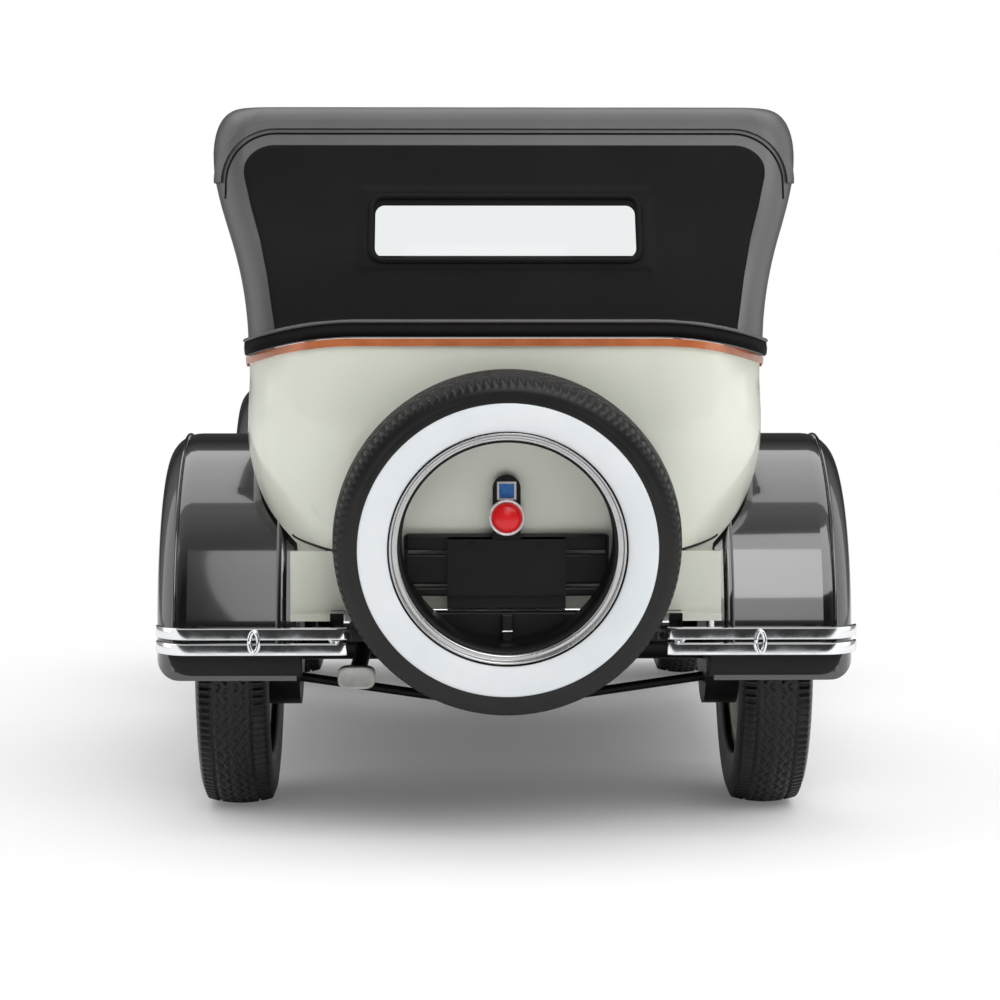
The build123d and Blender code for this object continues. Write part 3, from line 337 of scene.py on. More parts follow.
# Stage: camera, light, floor
def make_camera():
    """Camera behind the car, level from side to side."""
    data = bpy.data.cameras.new("camera")
    data.sensor_width = 36.0
    data.lens = LENS
    data.clip_start, data.clip_end = 0.01, 20.0
    camera = bpy.data.objects.new("camera", data)
    bpy.context.collection.objects.link(camera)
    camera.location = (CAMERA_X * MM, CAMERA_Y * MM, CAMERA_Z * MM)
    forward = Vector((-math.sin(YAW), -math.cos(YAW), -math.tan(PITCH)))
    camera.rotation_mode = "QUATERNION"
    camera.rotation_quaternion = forward.to_track_quat("-Z", "Y")
    bpy.context.scene.camera = camera


def softbox(name, place, aim, size, power, spread=180):
    """Rectangular soft lamp at a place, in millimetres, aimed at a point; spread is its beam in degrees."""
    data = bpy.data.lights.new(name, "AREA")
    data.shape = "RECTANGLE"
    data.size, data.size_y = size[0] * MM, size[1] * MM
    data.energy = power
    data.spread = math.radians(spread)
    lamp = bpy.data.objects.new(name, data)
    bpy.context.collection.objects.link(lamp)
    lamp.location = Vector(place) * MM
    lamp.rotation_mode = "QUATERNION"
    lamp.rotation_quaternion = (Vector(aim) - Vector(place)).to_track_quat("-Z", "Y")


def make_world():
    """White surroundings to the camera and through glass. As light they are bright beside and above the car,
    and dark ahead of it and behind it: their strength falls with how far a direction leans along Y."""
    world = bpy.data.worlds.new("studio")
    bpy.context.scene.world = world
    world.use_nodes = True
    world.node_tree.nodes.clear()
    where = add(world, "ShaderNodeTexCoord")
    parts = add(world, "ShaderNodeSeparateXYZ", [("Vector", where, "Generated")])
    lean = add(world, "ShaderNodeMath", [(0, parts, "Y")], operation="ABSOLUTE")
    toward = add(world, "ShaderNodeMapRange", [("Value", lean, 0)],
                 in_From_Min=0.25, in_From_Max=0.85, in_To_Min=0.7, in_To_Max=0.05)
    lit = add(world, "ShaderNodeBackground", [("Strength", toward, "Result")], in_Color=(1, 1, 1, 1))
    shown = add(world, "ShaderNodeBackground", in_Color=(1, 1, 1, 1))
    path = add(world, "ShaderNodeLightPath")
    either = add(world, "ShaderNodeMath", [(0, path, "Is Camera Ray"), (1, path, "Is Transmission Ray")],
                 operation="MAXIMUM")
    mix = add(world, "ShaderNodeMixShader", [("Fac", either, 0), (1, lit, 0), (2, shown, 0)])
    add(world, "ShaderNodeOutputWorld", [("Surface", mix, 0)])


def make_floor():
    """Pale floor that keeps the car's shadow and fades to the white background."""
    grid = np.linspace(-3000.0, 3000.0, 3)
    x, y = np.meshgrid(grid, grid, indexing="ij")
    points = np.stack([x, y, np.zeros_like(x)], axis=-1)
    material = bpy.data.materials.new("studio_floor")
    material.use_nodes = True
    shader = shader_of(material)
    shader.inputs["Base Color"].default_value = linear("f4f4f4")
    shader.inputs["Roughness"].default_value = 0.9
    where = add(material, "ShaderNodeTexCoord")
    spread = add(material, "ShaderNodeMapping", [("Vector", where, "Object")], in_Scale=(6.0, 4.2, 1.0))
    distance = add(material, "ShaderNodeVectorMath", [(0, spread, "Vector")], operation="LENGTH")
    fade = add(material, "ShaderNodeMapRange", [("Value", distance, "Value")], in_From_Min=0.32,
               in_From_Max=1.0, in_To_Min=0.1, interpolation_type="SMOOTHSTEP")
    path = add(material, "ShaderNodeLightPath")
    seen = add(material, "ShaderNodeMath", [(0, fade, "Result"), (1, path, "Is Camera Ray")],
               operation="MULTIPLY")
    white = add(material, "ShaderNodeEmission", in_Strength=1.0)
    mix = add(material, "ShaderNodeMixShader",
              [("Fac", seen, 0), (1, shader, "BSDF"), (2, white, "Emission")])
    # In reflections the pale table ends a little way behind the car
    place = add(material, "ShaderNodeSeparateXYZ", [("Vector", where, "Object")])
    edge = add(material, "ShaderNodeMapRange", [("Value", place, "Y")], in_From_Min=0.31, in_From_Max=0.33)
    far = add(material, "ShaderNodeMath", [(0, edge, "Result"), (1, path, "Is Glossy Ray")],
              operation="MULTIPLY")
    room = add(material, "ShaderNodeEmission", in_Strength=0.04)
    mix = add(material, "ShaderNodeMixShader", [("Fac", far, 0), (1, mix, "Shader"), (2, room, "Emission")])
    out = material.node_tree.nodes["Material Output"]
    material.node_tree.links.new(out.inputs["Surface"], mix.outputs[0])
    mesh = bpy.data.meshes.new("floor_plane")
    mesh.from_pydata((points.reshape(-1, 3) * MM).tolist(), [], grid_quads(3, 3).tolist())
    floor = bpy.data.objects.new("floor_plane", mesh)
    bpy.context.collection.objects.link(floor)
    mesh.materials.append(material)


def make_stage():
    """Camera, surroundings, lamps and floor."""
    bpy.context.scene.view_settings.view_transform = "Standard"
    make_camera()
    make_world()
    make_floor()
    softbox("lamp_above", (0, -140, 620), (0, -140, 0), (900, 620), 2.5)
    softbox("lamp_behind", (-310, 700, 620), (0, 100, 50), (640, 620), 3.3)
    softbox("lamp_card", (-30, 880, 470), (0, 100, 50), (290, 700), 1.3)
    softbox("lamp_table", (0, 600, 420), (0, 600, 0), (1000, 380), 1.0, spread=65)
    softbox("lamp_left", (620, 150, 300), (0, 40, 50), (700, 600), 1.0)
    softbox("lamp_right", (-620, 100, 300), (0, 40, 50), (700, 600), 1.0)


# Wheels and tyres
def wheel_frames():
    """For each tyre: name, centre, outward axis, two directions across it, its node and its body."""
    rows = []
    for side, s in (("left", 1), ("right", -1)):
        for end, y in (("front", FRONT_Y), ("rear", REAR_Y)):
            rows.append((f"{end}_{side}", (s * WHEEL_X, y, AXLE_Z), (s, 0, 0), (0, 1, 0), (0, 0, 1),
                         f"tyre_{end}_{side}", f"road_wheel_{end}_{side}"))
    cosine, sine = math.cos(SPARE_LEAN), math.sin(SPARE_LEAN)
    rows.append(("spare", (0, SPARE_Y, SPARE_Z), (0, cosine, -sine), (1, 0, 0), (0, sine, cosine),
                 "spare_tyre", "car"))
    return rows


def revolve(along, radius, turns, centre, axis, across, up):
    """Points at the given distance along an axis and from it; the arrays are turns by profile."""
    centre, axis, across, up = (np.array(v, dtype=float) for v in (centre, axis, across, up))
    cosine, sine = np.cos(turns)[:, None], np.sin(turns)[:, None]
    spoke = cosine[..., None] * across + sine[..., None] * up
    return centre + along[..., None] * axis + radius[..., None] * spoke


def side_bulge(radius):
    """Distance of the sidewall from the tyre's middle plane: two quarter ellipses about its widest circle."""
    widest = 20.3
    reach = np.where(radius < widest, 4.4, 3.9)
    return 3.6 + 1.7 * np.sqrt(np.clip(1 - ((radius - widest) / reach) ** 2, 0, 1))


def tyre(row, rubber):
    """Tyre: sidewalls that bulge as ellipses, a ridge below the shoulder and a crowned tread.
    The tread drops between short ribs along both edges and along four zigzag grooves."""
    name, centre, axis, across, up, node, body = row
    pitches = 128
    phase = np.array([0.0, 0.1, 0.48, 0.58])
    turns = ((np.arange(pitches)[:, None] + phase) / pitches * 2 * np.pi).ravel()
    high = np.tile(np.array([0.0, 1.0, 1.0, 0.0]), pitches)[:, None]
    up_side = np.linspace(RIM_R, 23.2, 18)
    ridge = 0.12 * np.exp(-((up_side - 22.1) / 0.22) ** 2) + 0.08 * np.exp(-((up_side - 20.75) / 0.1) ** 2)
    side = side_bulge(up_side) + ridge
    flat = np.linspace(4.6, -4.6, 47)
    tread = TYRE_R - 0.05 - 0.65 * (flat / 4.6) ** 2
    bore = np.array([-3.4, 0.0, 3.4])
    along = np.concatenate([side, flat, -side[::-1], bore])
    radius = np.concatenate([up_side, tread, up_side[::-1], np.full(3, RIM_R - 0.02)])
    along = np.broadcast_to(along, (len(turns), len(along))).copy()
    radius = np.broadcast_to(radius, along.shape).copy()
    t = flat[None, :]
    wave = turns[:, None] * pitches / (4 * np.pi)
    zigzag = 0.5 * (2 * np.abs(2 * (wave % 1) - 1) - 1)
    rib_row = (np.abs(t) > 3.0) & (np.abs(t) < 4.5)
    drop = np.where(rib_row, 0.5 * (1 - high), 0.0)
    drop = np.where(np.abs(np.abs(t) - 2.86) < 0.16, 0.4, drop)
    for middle in (-1.95, -0.65, 0.65, 1.95):
        drop = np.where(np.abs(t - middle - zigzag) < 0.14, 0.35, drop)
    drop = np.where(np.abs(t) < 0.07, -0.04, drop)
    first = len(side)
    radius[:, first:first + len(flat)] -= drop
    # The ribs' ends also notch the shoulder
    for column in (first - 1, first + len(flat)):
        radius[:, column] -= 0.28 * (1 - high[:, 0])
    points = revolve(along, radius, turns, centre, axis, across, up)
    quads = grid_quads(*points.shape[:2], close_rows=True, close_columns=True)
    piece = tidy(put_mesh(f"tread_{name}", points, quads, rubber, body))
    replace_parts(piece, node)


def ring(name, profile, row, material, around=160):
    """Closed ring: a closed profile of (distance along the axis, radius) turned about the wheel's axis."""
    profile = np.array(profile, dtype=float)
    turns = np.linspace(0, 2 * np.pi, around, endpoint=False)
    along = np.broadcast_to(profile[:, 0], (around, len(profile)))
    radius = np.broadcast_to(profile[:, 1], along.shape)
    points = revolve(along, radius, turns, *row[1:5])
    quads = grid_quads(*points.shape[:2], close_rows=True, close_columns=True)
    return tidy(put_mesh(name, points, quads, material, row[6]))


def whitewall(row, white, low):
    """White band on a tyre's outer side: follows the sidewall's bulge, a hair proud of it."""
    span = np.linspace(low, 20.5, 16)
    edge = 0.07 * np.clip(np.minimum(np.arange(16), np.arange(16)[::-1]), 0, 1)
    top = np.stack([side_bulge(span) + edge, span], axis=-1)
    under = np.stack([side_bulge(span) - 0.15, span], axis=-1)[::-1]
    return ring(f"whitewall_{row[0]}", np.concatenate([top, under]), row, white)


def make_tyres(found):
    """Five tyres with their white bands, and the spare's rim: a stepped bright lip and a black well.
    Each of the rim's profiles is a ring of (distance along the axis, radius)."""
    rows = wheel_frames()
    for row in rows:
        tyre(row, found["tyre_rubber"])
        whitewall(row, found["white_rubber"], 16.42 if row[0] == "spare" else RIM_R + 0.1)
    spare = rows[-1]
    lip = [(3.2, 16.4), (3.9, 16.36), (4.15, 16.25), (4.25, 16.1), (4.17, 15.92), (3.95, 15.8), (3.72, 15.74),
           (3.68, 15.64), (3.72, 15.4), (3.72, 15.2), (3.6, 15.05), (3.4, 14.95), (2.8, 14.9), (2.8, 15.8)]
    ring("spare_rim_lip", lip, spare, found["rim_plating"], 200)
    well = [(3.4, 14.93), (3.4, 14.7), (0, 14.5), (-3.9, 14.62), (-4.3, 14.9), (-4.4, 16.3), (-3.6, 16.35),
            (-3.0, 15.3), (2.7, 15.3), (3.3, 15.0)]
    inner = ring("spare_rim_well", well, spare, found["black_plastic"], 200)
    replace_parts(inner, "spare_rim")


def tube(name, path, radius, material, body, sides=10, closed=False, flat=1.0, up=(0, 0, 1)):
    """Round bar along a path of points: each section stands square to the path, flattened along up."""
    path = np.array(path, dtype=float)
    run = np.roll(path, -1, axis=0) - np.roll(path, 1, axis=0) if closed else np.gradient(path, axis=0)
    run /= np.linalg.norm(run, axis=1)[:, None]
    side = np.cross(run, np.array(up, dtype=float))
    side /= np.linalg.norm(side, axis=1)[:, None]
    top = np.cross(side, run)
    turns = np.linspace(0, 2 * np.pi, sides, endpoint=False)
    radius = np.broadcast_to(np.asarray(radius, dtype=float), len(path))
    spokes = np.cos(turns)[:, None] * side[:, None] + flat * np.sin(turns)[:, None] * top[:, None]
    points = path[:, None] + radius[:, None, None] * spokes
    if not closed:
        ends = [np.repeat(path[i, None, None], sides, 1) for i in (0, -1)]
        points = np.concatenate([ends[0], points, ends[1]])
    quads = grid_quads(len(points), sides, close_rows=closed, close_columns=True)
    return tidy(put_mesh(name, points, quads, material, body), 0.0005)


# Fenders
def fender_path(inset, x):
    """Points of the left rear fender's side line: two arcs over the wheel, then straight down."""
    radius, tuck = 32.0 - inset, 3.0
    front = np.linspace(math.pi * 0.97, math.pi / 2, 40)
    back = np.linspace(math.pi / 2, 0, 40)[1:]
    y = np.concatenate([REAR_Y + radius * np.cos(front), REAR_Y + (radius - tuck) * np.cos(back)])
    z = np.concatenate([AXLE_Z + radius * np.sin(front), AXLE_Z + tuck + (radius - tuck) * np.sin(back)])
    drop = np.linspace(AXLE_Z + tuck, 23.2, 8)[1:]
    y = np.concatenate([y, np.full(len(drop), REAR_Y + radius - tuck)])
    z = np.concatenate([z, drop])
    return np.stack([np.full(len(y), x), y, z], axis=-1)


def front_fender_path(inset, x):
    """Points of the left front fender's side line, from its lip over the wheel to the sweep."""
    radius, tuck = 35.2 - inset, 5.2
    lip = np.linspace(math.pi - math.radians(17), math.pi / 2, 30)
    back = np.linspace(math.pi / 2, math.radians(25), 30)[1:]
    y = np.concatenate([FRONT_Y + (radius - tuck) * np.cos(lip), FRONT_Y + radius * np.cos(back)])
    z = np.concatenate([AXLE_Z + tuck + (radius - tuck) * np.sin(lip), AXLE_Z + radius * np.sin(back)])
    return np.stack([np.full(len(y), x), y, z], axis=-1)


def make_fender_beads(found):
    """Raised beads along the fenders' outer edges, and on the rear ones a thick inner roll and a foot.
    The foot is an elliptic bar across the car; its lower edge rises in an arc to the outer corner."""
    paint = found["black_paint"]
    for side, s in (("left", 1), ("right", -1)):
        mirror = np.array([s, 1, 1])
        outer = fender_path(0.28, 47.1) * mirror
        inner = fender_path(1.0, 31.9) * mirror
        tube(f"rear_fender_bead_{side}", outer, 0.34, paint, "car", up=(1, 0, 0))
        tube(f"rear_fender_roll_{side}", inner, 1.25, paint, "car", 20, up=(1, 0, 0))
        # The foot is dull satin black, not the fender's gloss enamel: a painted dark reflection that stands
        # in for the shaded floor which the rolled foot mirrors
        turns = np.linspace(0, 2 * np.pi, 24, endpoint=False)
        x, t = np.meshgrid(np.linspace(28.9, 47.95, 40), turns, indexing="ij")
        corner, foot_z, top_z = 3.4, 22.5, 27.2
        low = foot_z + corner - np.sqrt(np.clip(corner ** 2 - np.clip(x - 44.6, 0, corner) ** 2, 0, None))
        middle, tall = (low + top_z) / 2, (top_z - low) / 2
        foot = capped(np.stack([s * x, 103.9 + 0.75 * np.cos(t), middle + tall * np.sin(t)], axis=-1))
        quads = grid_quads(len(foot), 24, close_columns=True)
        tidy(put_mesh(f"rear_fender_foot_{side}", foot, quads, found["black_plastic"], "car"), 0.001)
        front = front_fender_path(0.28, 47.8) * mirror
        tube(f"front_fender_bead_{side}", front, 0.34, paint, "car", up=(1, 0, 0))


# Bumpers
def bumper_bar(x0, x1, z0, z1, y_face):
    """Plated bar: a flat-faced section with bevelled edges, along a path that bends forward at its outer end
    by a power of the distance and tucks in a little at its inner end."""
    count = 60
    x = np.linspace(x0, x1, count)
    bend = np.clip((x - (x1 - 5.0)) / 5.0, 0, 1)
    start = np.clip(x0 + 1.0 - x, 0, 1)
    y = y_face - 4.2 * bend ** 2.4 - 0.4 * start ** 2
    tall, deep, bevel = (z1 - z0) / 2, 0.6, 0.34
    profile = np.array([(-0.1, -tall + 0.04), (-bevel, -tall), (-2 * deep, -tall), (-2 * deep, tall),
                        (-bevel, tall), (-0.1, tall - 0.04), (0.0, tall - 0.16), (0.012, 0),
                        (0.0, -tall + 0.16)])
    sides = len(profile)
    middle = (z0 + z1) / 2
    across = np.broadcast_to(x[:, None], (count, sides))
    height = np.broadcast_to(middle + profile[:, 1], (count, sides))
    points = np.stack([across, y[:, None] + profile[:, 0], height], axis=-1)
    heart = np.stack([x, y - deep, np.full(count, middle)], axis=-1)
    ends = [np.repeat(heart[i, None, None], sides, 1) for i in (0, -1)]
    points = np.concatenate([ends[0], points, ends[1]])
    return points, grid_quads(len(points), sides, close_columns=True)


def clip(name, x, y, metal):
    """Oval plated clip that holds a pair of bars together: an ellipse seen from the end of the car."""
    turn = np.linspace(0, 2 * np.pi, 41)
    oval = np.stack([x + 0.62 * np.cos(turn), np.full(41, y), CLIP_Z + 1.45 * np.sin(turn)], axis=-1)
    tube(name, oval, 0.3, metal, "car", up=(0, 1, 0))


def make_bumpers(found):
    """Two bars a side with an oval clip at the tail, and full-width bars with three clips in front."""
    metal = found["chrome_plating"]
    shown = []
    for side, s in (("left", 1), ("right", -1)):
        ends = (("bumperette", 22.1, 48.6, REAR_BAR_Y, 1, (23.65, 112.2, 117.2, 29.1)),
                ("front_bar", 0.0, 48.1, FRONT_BAR_Y, -1, (17.2, 117.6, 124.6, 29.2)))
        for name, x0, x1, y_face, way, (arm_x, arm_from, arm_to, arm_z) in ends:
            for i, (z0, z1) in enumerate(BUMPER_ROWS):
                points, quads = bumper_bar(x0, x1, z0, z1, y_face)
                points = points * np.array([s, way, 1])
                piece = put_mesh(f"{name}_{side}_{i}", points, quads, metal, "car")
                shown.append(sharpen(tidy(piece, 0.0005)))
            if name == "bumperette":
                clip(f"bumperette_clip_{side}", s * CLIP_X, REAR_BAR_Y + 0.35, metal)
            arm = [(s * arm_x, way * y, arm_z) for y in np.linspace(arm_from, arm_to, 6)]
            tube(f"{name}_arm_{side}", arm, 0.95, metal, "car", 16)
    for place, x in (("right", -CLIP_X), ("middle", 0.0), ("left", CLIP_X)):
        clip(f"front_bar_clip_{place}", x, -FRONT_BAR_Y - 0.25, metal)
    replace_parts(shown[0], "rear_bumperettes")
    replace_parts(shown[2], "front_bumper")


def sharpen(piece, degrees=32.0):
    """Keeps edges sharper than the given angle crisp."""
    mesh = piece.data
    normals = {}
    for face in mesh.polygons:
        for key in face.edge_keys:
            normals.setdefault(key, []).append(face.normal)
    limit = math.cos(math.radians(degrees))
    for edge in mesh.edges:
        pair = normals.get(tuple(sorted(edge.vertices)), [])
        edge.use_edge_sharp = len(pair) == 2 and pair[0].dot(pair[1]) < limit
    return piece


# Small pieces set on what carries them
def meet(node, start, way):
    """Where a straight line from a point first meets a frame node, in millimetres, and the normal there."""
    if node not in TREES:
        mesh = frame["nodes"][node].data
        TREES[node] = BVHTree.FromPolygons([v.co for v in mesh.vertices], [p.vertices for p in mesh.polygons])
    place, normal, _, _ = TREES[node].ray_cast(Vector(start) * MM, Vector(way).normalized())
    return (None, None) if place is None else (np.array(place) / MM, np.array(normal))


def side_line(node, s, y0, y1, z, lift):
    """Points along a node's flank at one height, lifted off it; s is 1 on the left and -1 on the right."""
    found = []
    for y in np.linspace(y0, y1, 40):
        place, _ = meet(node, (s * 150, y, z), (-s, 0, 0))
        if place is not None and abs(place[0]) > 15:
            found.append(place + np.array([s * lift, 0, 0]))
    return found


def make_belt(found):
    """Painted bead along the belt of the doors, posts, cowl and bonnet, and the doors' handles and edges."""
    copper, metal = found["copper_paint"], found["chrome_plating"]
    for side, s in (("left", 1), ("right", -1)):
        rows = (
            ("door_front", f"door_front_{side}", f"door_front_{side}_body", -17.3, 16.3),
            ("door_rear", f"door_rear_{side}", f"door_rear_{side}_body", 21.7, 50.3),
            ("post_middle", "body_sides", "car", 17.0, 21.0),
            ("post_front", "body_sides", "car", -21.6, -18.0),
            ("cowl", "body_cowl", "car", -35.6, -22.4),
        )
        for name, node, body, y0, y1 in rows:
            path = side_line(node, s, y0, y1, BELT_Z, 0.12)
            if len(path) > 3:
                tube(f"belt_{name}_{side}", path, 0.45, copper, body, flat=0.9)
        bonnet = side_line(f"bonnet_{side}", s, -87.4, -36.8, BONNET_BELT_Z, 0.1)
        tube(f"belt_bonnet_{side}", bonnet, 0.3, copper, f"bonnet_{side}_body")
        for name, y in (("front", 12.0), ("rear", 26.0)):
            body = f"door_{name}_{side}_body"
            t = np.linspace(-3.2, 1.4, 16)
            arch = HANDLE_Z + 0.25 * np.sin(np.pi * (t + 3.2) / 4.6)
            grip = np.stack([np.full(16, s * 38.6), y + t, arch], axis=-1)
            radius = 0.58 + 0.12 * np.cos(np.linspace(0, 2 * np.pi, 16))
            tube(f"handle_{name}_{side}", grip, radius, metal, body)
            stem = [(s * x, y, HANDLE_Z) for x in np.linspace(36.4, 38.7, 5)]
            taper = [0.95, 0.75, 0.55, 0.5, 0.5]
            tube(f"handle_stem_{name}_{side}", stem, taper, metal, body)
            # A fine raised line runs up each door beside its front and rear edges
            y0, y1 = ((-16.6, 15.6) if name == "front" else (22.4, 49.6))
            for place, yy in (("ahead", y0), ("behind", y1)):
                rise = [meet(f"door_{name}_{side}", (s * 150, yy, z), (-s, 0, 0))[0]
                        for z in np.linspace(34, 64, 30)]
                rise = [q for q in rise if q is not None and abs(q[0]) > 28]
                if len(rise) > 6:
                    tube(f"door_edge_{name}_{place}_{side}", rise, 0.16, found["cream_paint"], body,
                         up=(0, 1, 0))


def hoop(x, y, z, radius):
    """Closed circle of points facing along Y, its first point given again at the end."""
    turns = np.append(np.linspace(0, 2 * np.pi, 64, endpoint=False), 0)
    return np.stack([x + radius * np.cos(turns), np.full(65, y), z + radius * np.sin(turns)], axis=-1)


def make_tail_lamp(found):
    """Red dome, a quarter ellipse turned about the car's length, in a pale ring."""
    turns = np.linspace(0, 2 * np.pi, 64, endpoint=False)
    swell = np.linspace(0, math.pi / 2, 14)
    radius = np.concatenate([[TAIL_LENS_R - 0.07], TAIL_LENS_R * np.cos(swell)])
    depth = np.concatenate([[-0.2], np.sin(swell) ** 0.9])
    points = np.stack([radius * np.cos(turns)[:, None], TAIL_LAMP_Y + np.broadcast_to(depth, (64, 15)),
                       TAIL_LAMP_Z + radius * np.sin(turns)[:, None]], axis=-1)
    quads = grid_quads(64, 15, close_rows=True)
    lens = put_mesh("tail_dome", points, quads, found["red_plastic"], "car")
    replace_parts(tidy(lens, 0.001), "tail_lens")
    circle = hoop(0, TAIL_LAMP_Y + 0.05, TAIL_LAMP_Z, TAIL_LENS_R + 0.2)
    tube("tail_ring", circle, 0.22, found["pale_ring"], "car", up=(0, 1, 0))


def lamp_glass(x, y, z):
    """Headlamp glass: a square grid squeezed onto a disc, domed as a parabola and fluted upright by a sine,
    with a flat-bottomed back and a wall round its edge."""
    n, radius = 61, 5.6
    across, high = np.meshgrid(np.linspace(-1, 1, n), np.linspace(-1, 1, n), indexing="ij")
    reach = np.sqrt(across ** 2 + high ** 2)
    squeeze = np.maximum(np.abs(across), np.abs(high)) / np.maximum(reach, 1e-9)
    flute = 0.07 * np.abs(np.sin(across * squeeze * 5.5 * np.pi / 1.2))
    front_y = y - 0.1 - 0.7 * (1 - (reach * squeeze) ** 2) - flute
    face = np.stack([x + radius * across * squeeze, front_y, z + radius * high * squeeze], axis=-1)
    back = face.copy()
    back[..., 1] = np.maximum(front_y + 0.4, y - 0.25)
    points = np.concatenate([face.reshape(-1, 3), back.reshape(-1, 3)])
    rear = grid_quads(n, n, start=n * n)[:, ::-1]
    edge = np.concatenate([np.arange(n), n * np.arange(1, n) + n - 1,
                           n * (n - 1) + np.arange(n - 2, -1, -1), n * np.arange(n - 2, 0, -1)])
    after = np.roll(edge, -1)
    wall = np.stack([edge, after, after + n * n, edge + n * n], axis=-1)
    return points, np.concatenate([grid_quads(n, n), rear, wall])


def make_lamps(found):
    """Tail lamp, and the headlamps' fluted glasses with plated rims and bowls behind them."""
    metal, clear = found["chrome_plating"], found["clear_plastic"]
    make_tail_lamp(found)
    for side, s in (("left", 1), ("right", -1)):
        x, y, z = s * HEADLAMP_X, HEADLAMP_Y, HEADLAMP_Z
        circle = hoop(x, y, z, HEADLAMP_R)
        tube(f"headlamp_rim_{side}", circle, 0.5, metal, "car", 12, up=(0, 1, 0))
        points, quads = lamp_glass(x, y, z)
        piece = tidy(put_mesh(f"headlamp_glass_{side}", points, quads, clear, "car"))
        if s == 1:
            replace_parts(piece, "headlamp_lenses")
        turn = np.linspace(0, math.pi / 2, 12)
        bowl = list(zip(-3.0 + 2.9 * (1 - np.cos(turn)), 0.4 + 4.9 * np.sin(turn)))
        bowl += [(q + 0.15, r) for q, r in reversed(bowl)]
        row = (side, (x, y + 3.2, z), (0, -1, 0), (1, 0, 0), (0, 0, 1), None, "car")
        profile = [(q + 3.0, r) for q, r in bowl]
        ring(f"headlamp_reflector_{side}", profile, row, metal, 48)


def make_hubs(found):
    """Plated hub caps on the road wheels, stepped and domed, and the rolled cream edges of their rims."""
    metal = found["chrome_plating"]
    for row in wheel_frames()[:4]:
        swell = np.linspace(0, math.pi / 2, 10)
        dome = list(zip(5.05 + 0.75 * np.sin(swell), 1.9 * np.cos(swell) + 0.02))
        step = [(3.4, 0.02), (3.4, 3.3), (3.7, 3.4), (3.9, 3.2), (4.0, 2.75), (4.9, 2.65), (5.1, 2.5),
                (5.15, 2.1)]
        ring(f"hub_cap_{row[0]}", step + dome, row, metal, 48)
        lip = [(3.3, 14.95), (3.3, 16.1), (3.85, 16.35), (4.05, 16.2), (4.0, 15.95), (3.7, 15.7),
               (3.75, 15.2), (3.6, 14.95)]
        ring(f"rim_edge_{row[0]}", lip, row, found["cream_paint"], 120)


# Tail fittings
def make_carrier(found):
    """Slotted bars behind the spare with their shelf, plated lip and clamp."""
    black, metal = found["black_plastic"], found["chrome_plating"]
    y0, y1 = 110.25, 112.05
    bars = (
        ("upper", -14.2, 14.2, 41.2, 43.5, 0.45),
        ("middle", -14.2, 14.2, 36.5, 40.65, 0.3),
        ("lower", -13.4, 13.4, 34.8, 36.05, 0.3),
        ("heart", -8.25, 8.25, 33.1, 43.2, 0.1),
    )
    for name, x0, x1, z0, z1, bevel in bars:
        piece = box_piece(f"carrier_{name}", (x0, y0, z0), (x1, y1, z1), black, bevel)
        if name == "heart":
            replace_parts(piece, "spare_carrier")
    for side, s in (("right", -1), ("left", 1)):
        x0, x1 = sorted((s * 13.7, s * 14.3))
        box_piece(f"carrier_end_{side}", (x0, y0, 35.2), (x1, y1 - 0.3, 43.3), black, 0.2)
        x0, x1 = sorted((s * 10.4, s * 12.2))
        box_piece(f"carrier_strut_{side}", (x0, 105.2, 29.5), (x1, 110.3, 31.4), black, 0.2)
    box_piece("carrier_shelf", (-14.4, 109.4, 27.0), (14.4, 111.2, 32.6), black, 0.4)
    box_piece("carrier_lip", (-14.4, 109.4, 32.62), (14.4, 111.45, 32.95), metal, 0.12)
    box_piece("carrier_clamp", (-0.9, 111.1, 27.2), (0.7, 113.6, 32.4), black, 0.25)
    box_piece("carrier_clamp_bar", (-0.85, 113.5, 29.9), (0.65, 113.9, 30.15), metal, 0.08)
    box_piece("carrier_clamp_foot", (-1.0, 113.2, 26.7), (0.8, 115.4, 27.5), metal, 0.2)
    # Dark line where the tub's foot meets the panel under it: partly the seam, partly painted shade under the
    # tub's lower edge
    for side, s in (("left", 1), ("right", -1)):
        seam_and_shade = []
        for t in np.linspace(0, 1, 30):
            x, z = s * (30.2 - 9.0 * t), 42.7 - 2.6 * t ** 0.7
            place, _ = meet("body_tonneau", (x, 200, z), (0, -1, 0))
            if place is not None and place[1] > 95:
                seam_and_shade.append(place + np.array([0, 0.02, 0]))
        if len(seam_and_shade) > 5:
            tube(f"tail_seam_shade_{side}", seam_and_shade, 0.2, black, "car", 8)


def make_badge(found):
    """Bare badge on the lamp's stand, above the lens: a blue face in a pale rim."""
    pale, blue = found["pale_ring"], found["badge_blue"]
    box_piece("badge_rim", (-1.35, 112.8, 48.25), (1.35, 113.05, 50.85), pale, 0.08)
    box_piece("badge_face", (-1.05, 113.0, 48.55), (1.05, 113.14, 50.55), blue, 0.05)


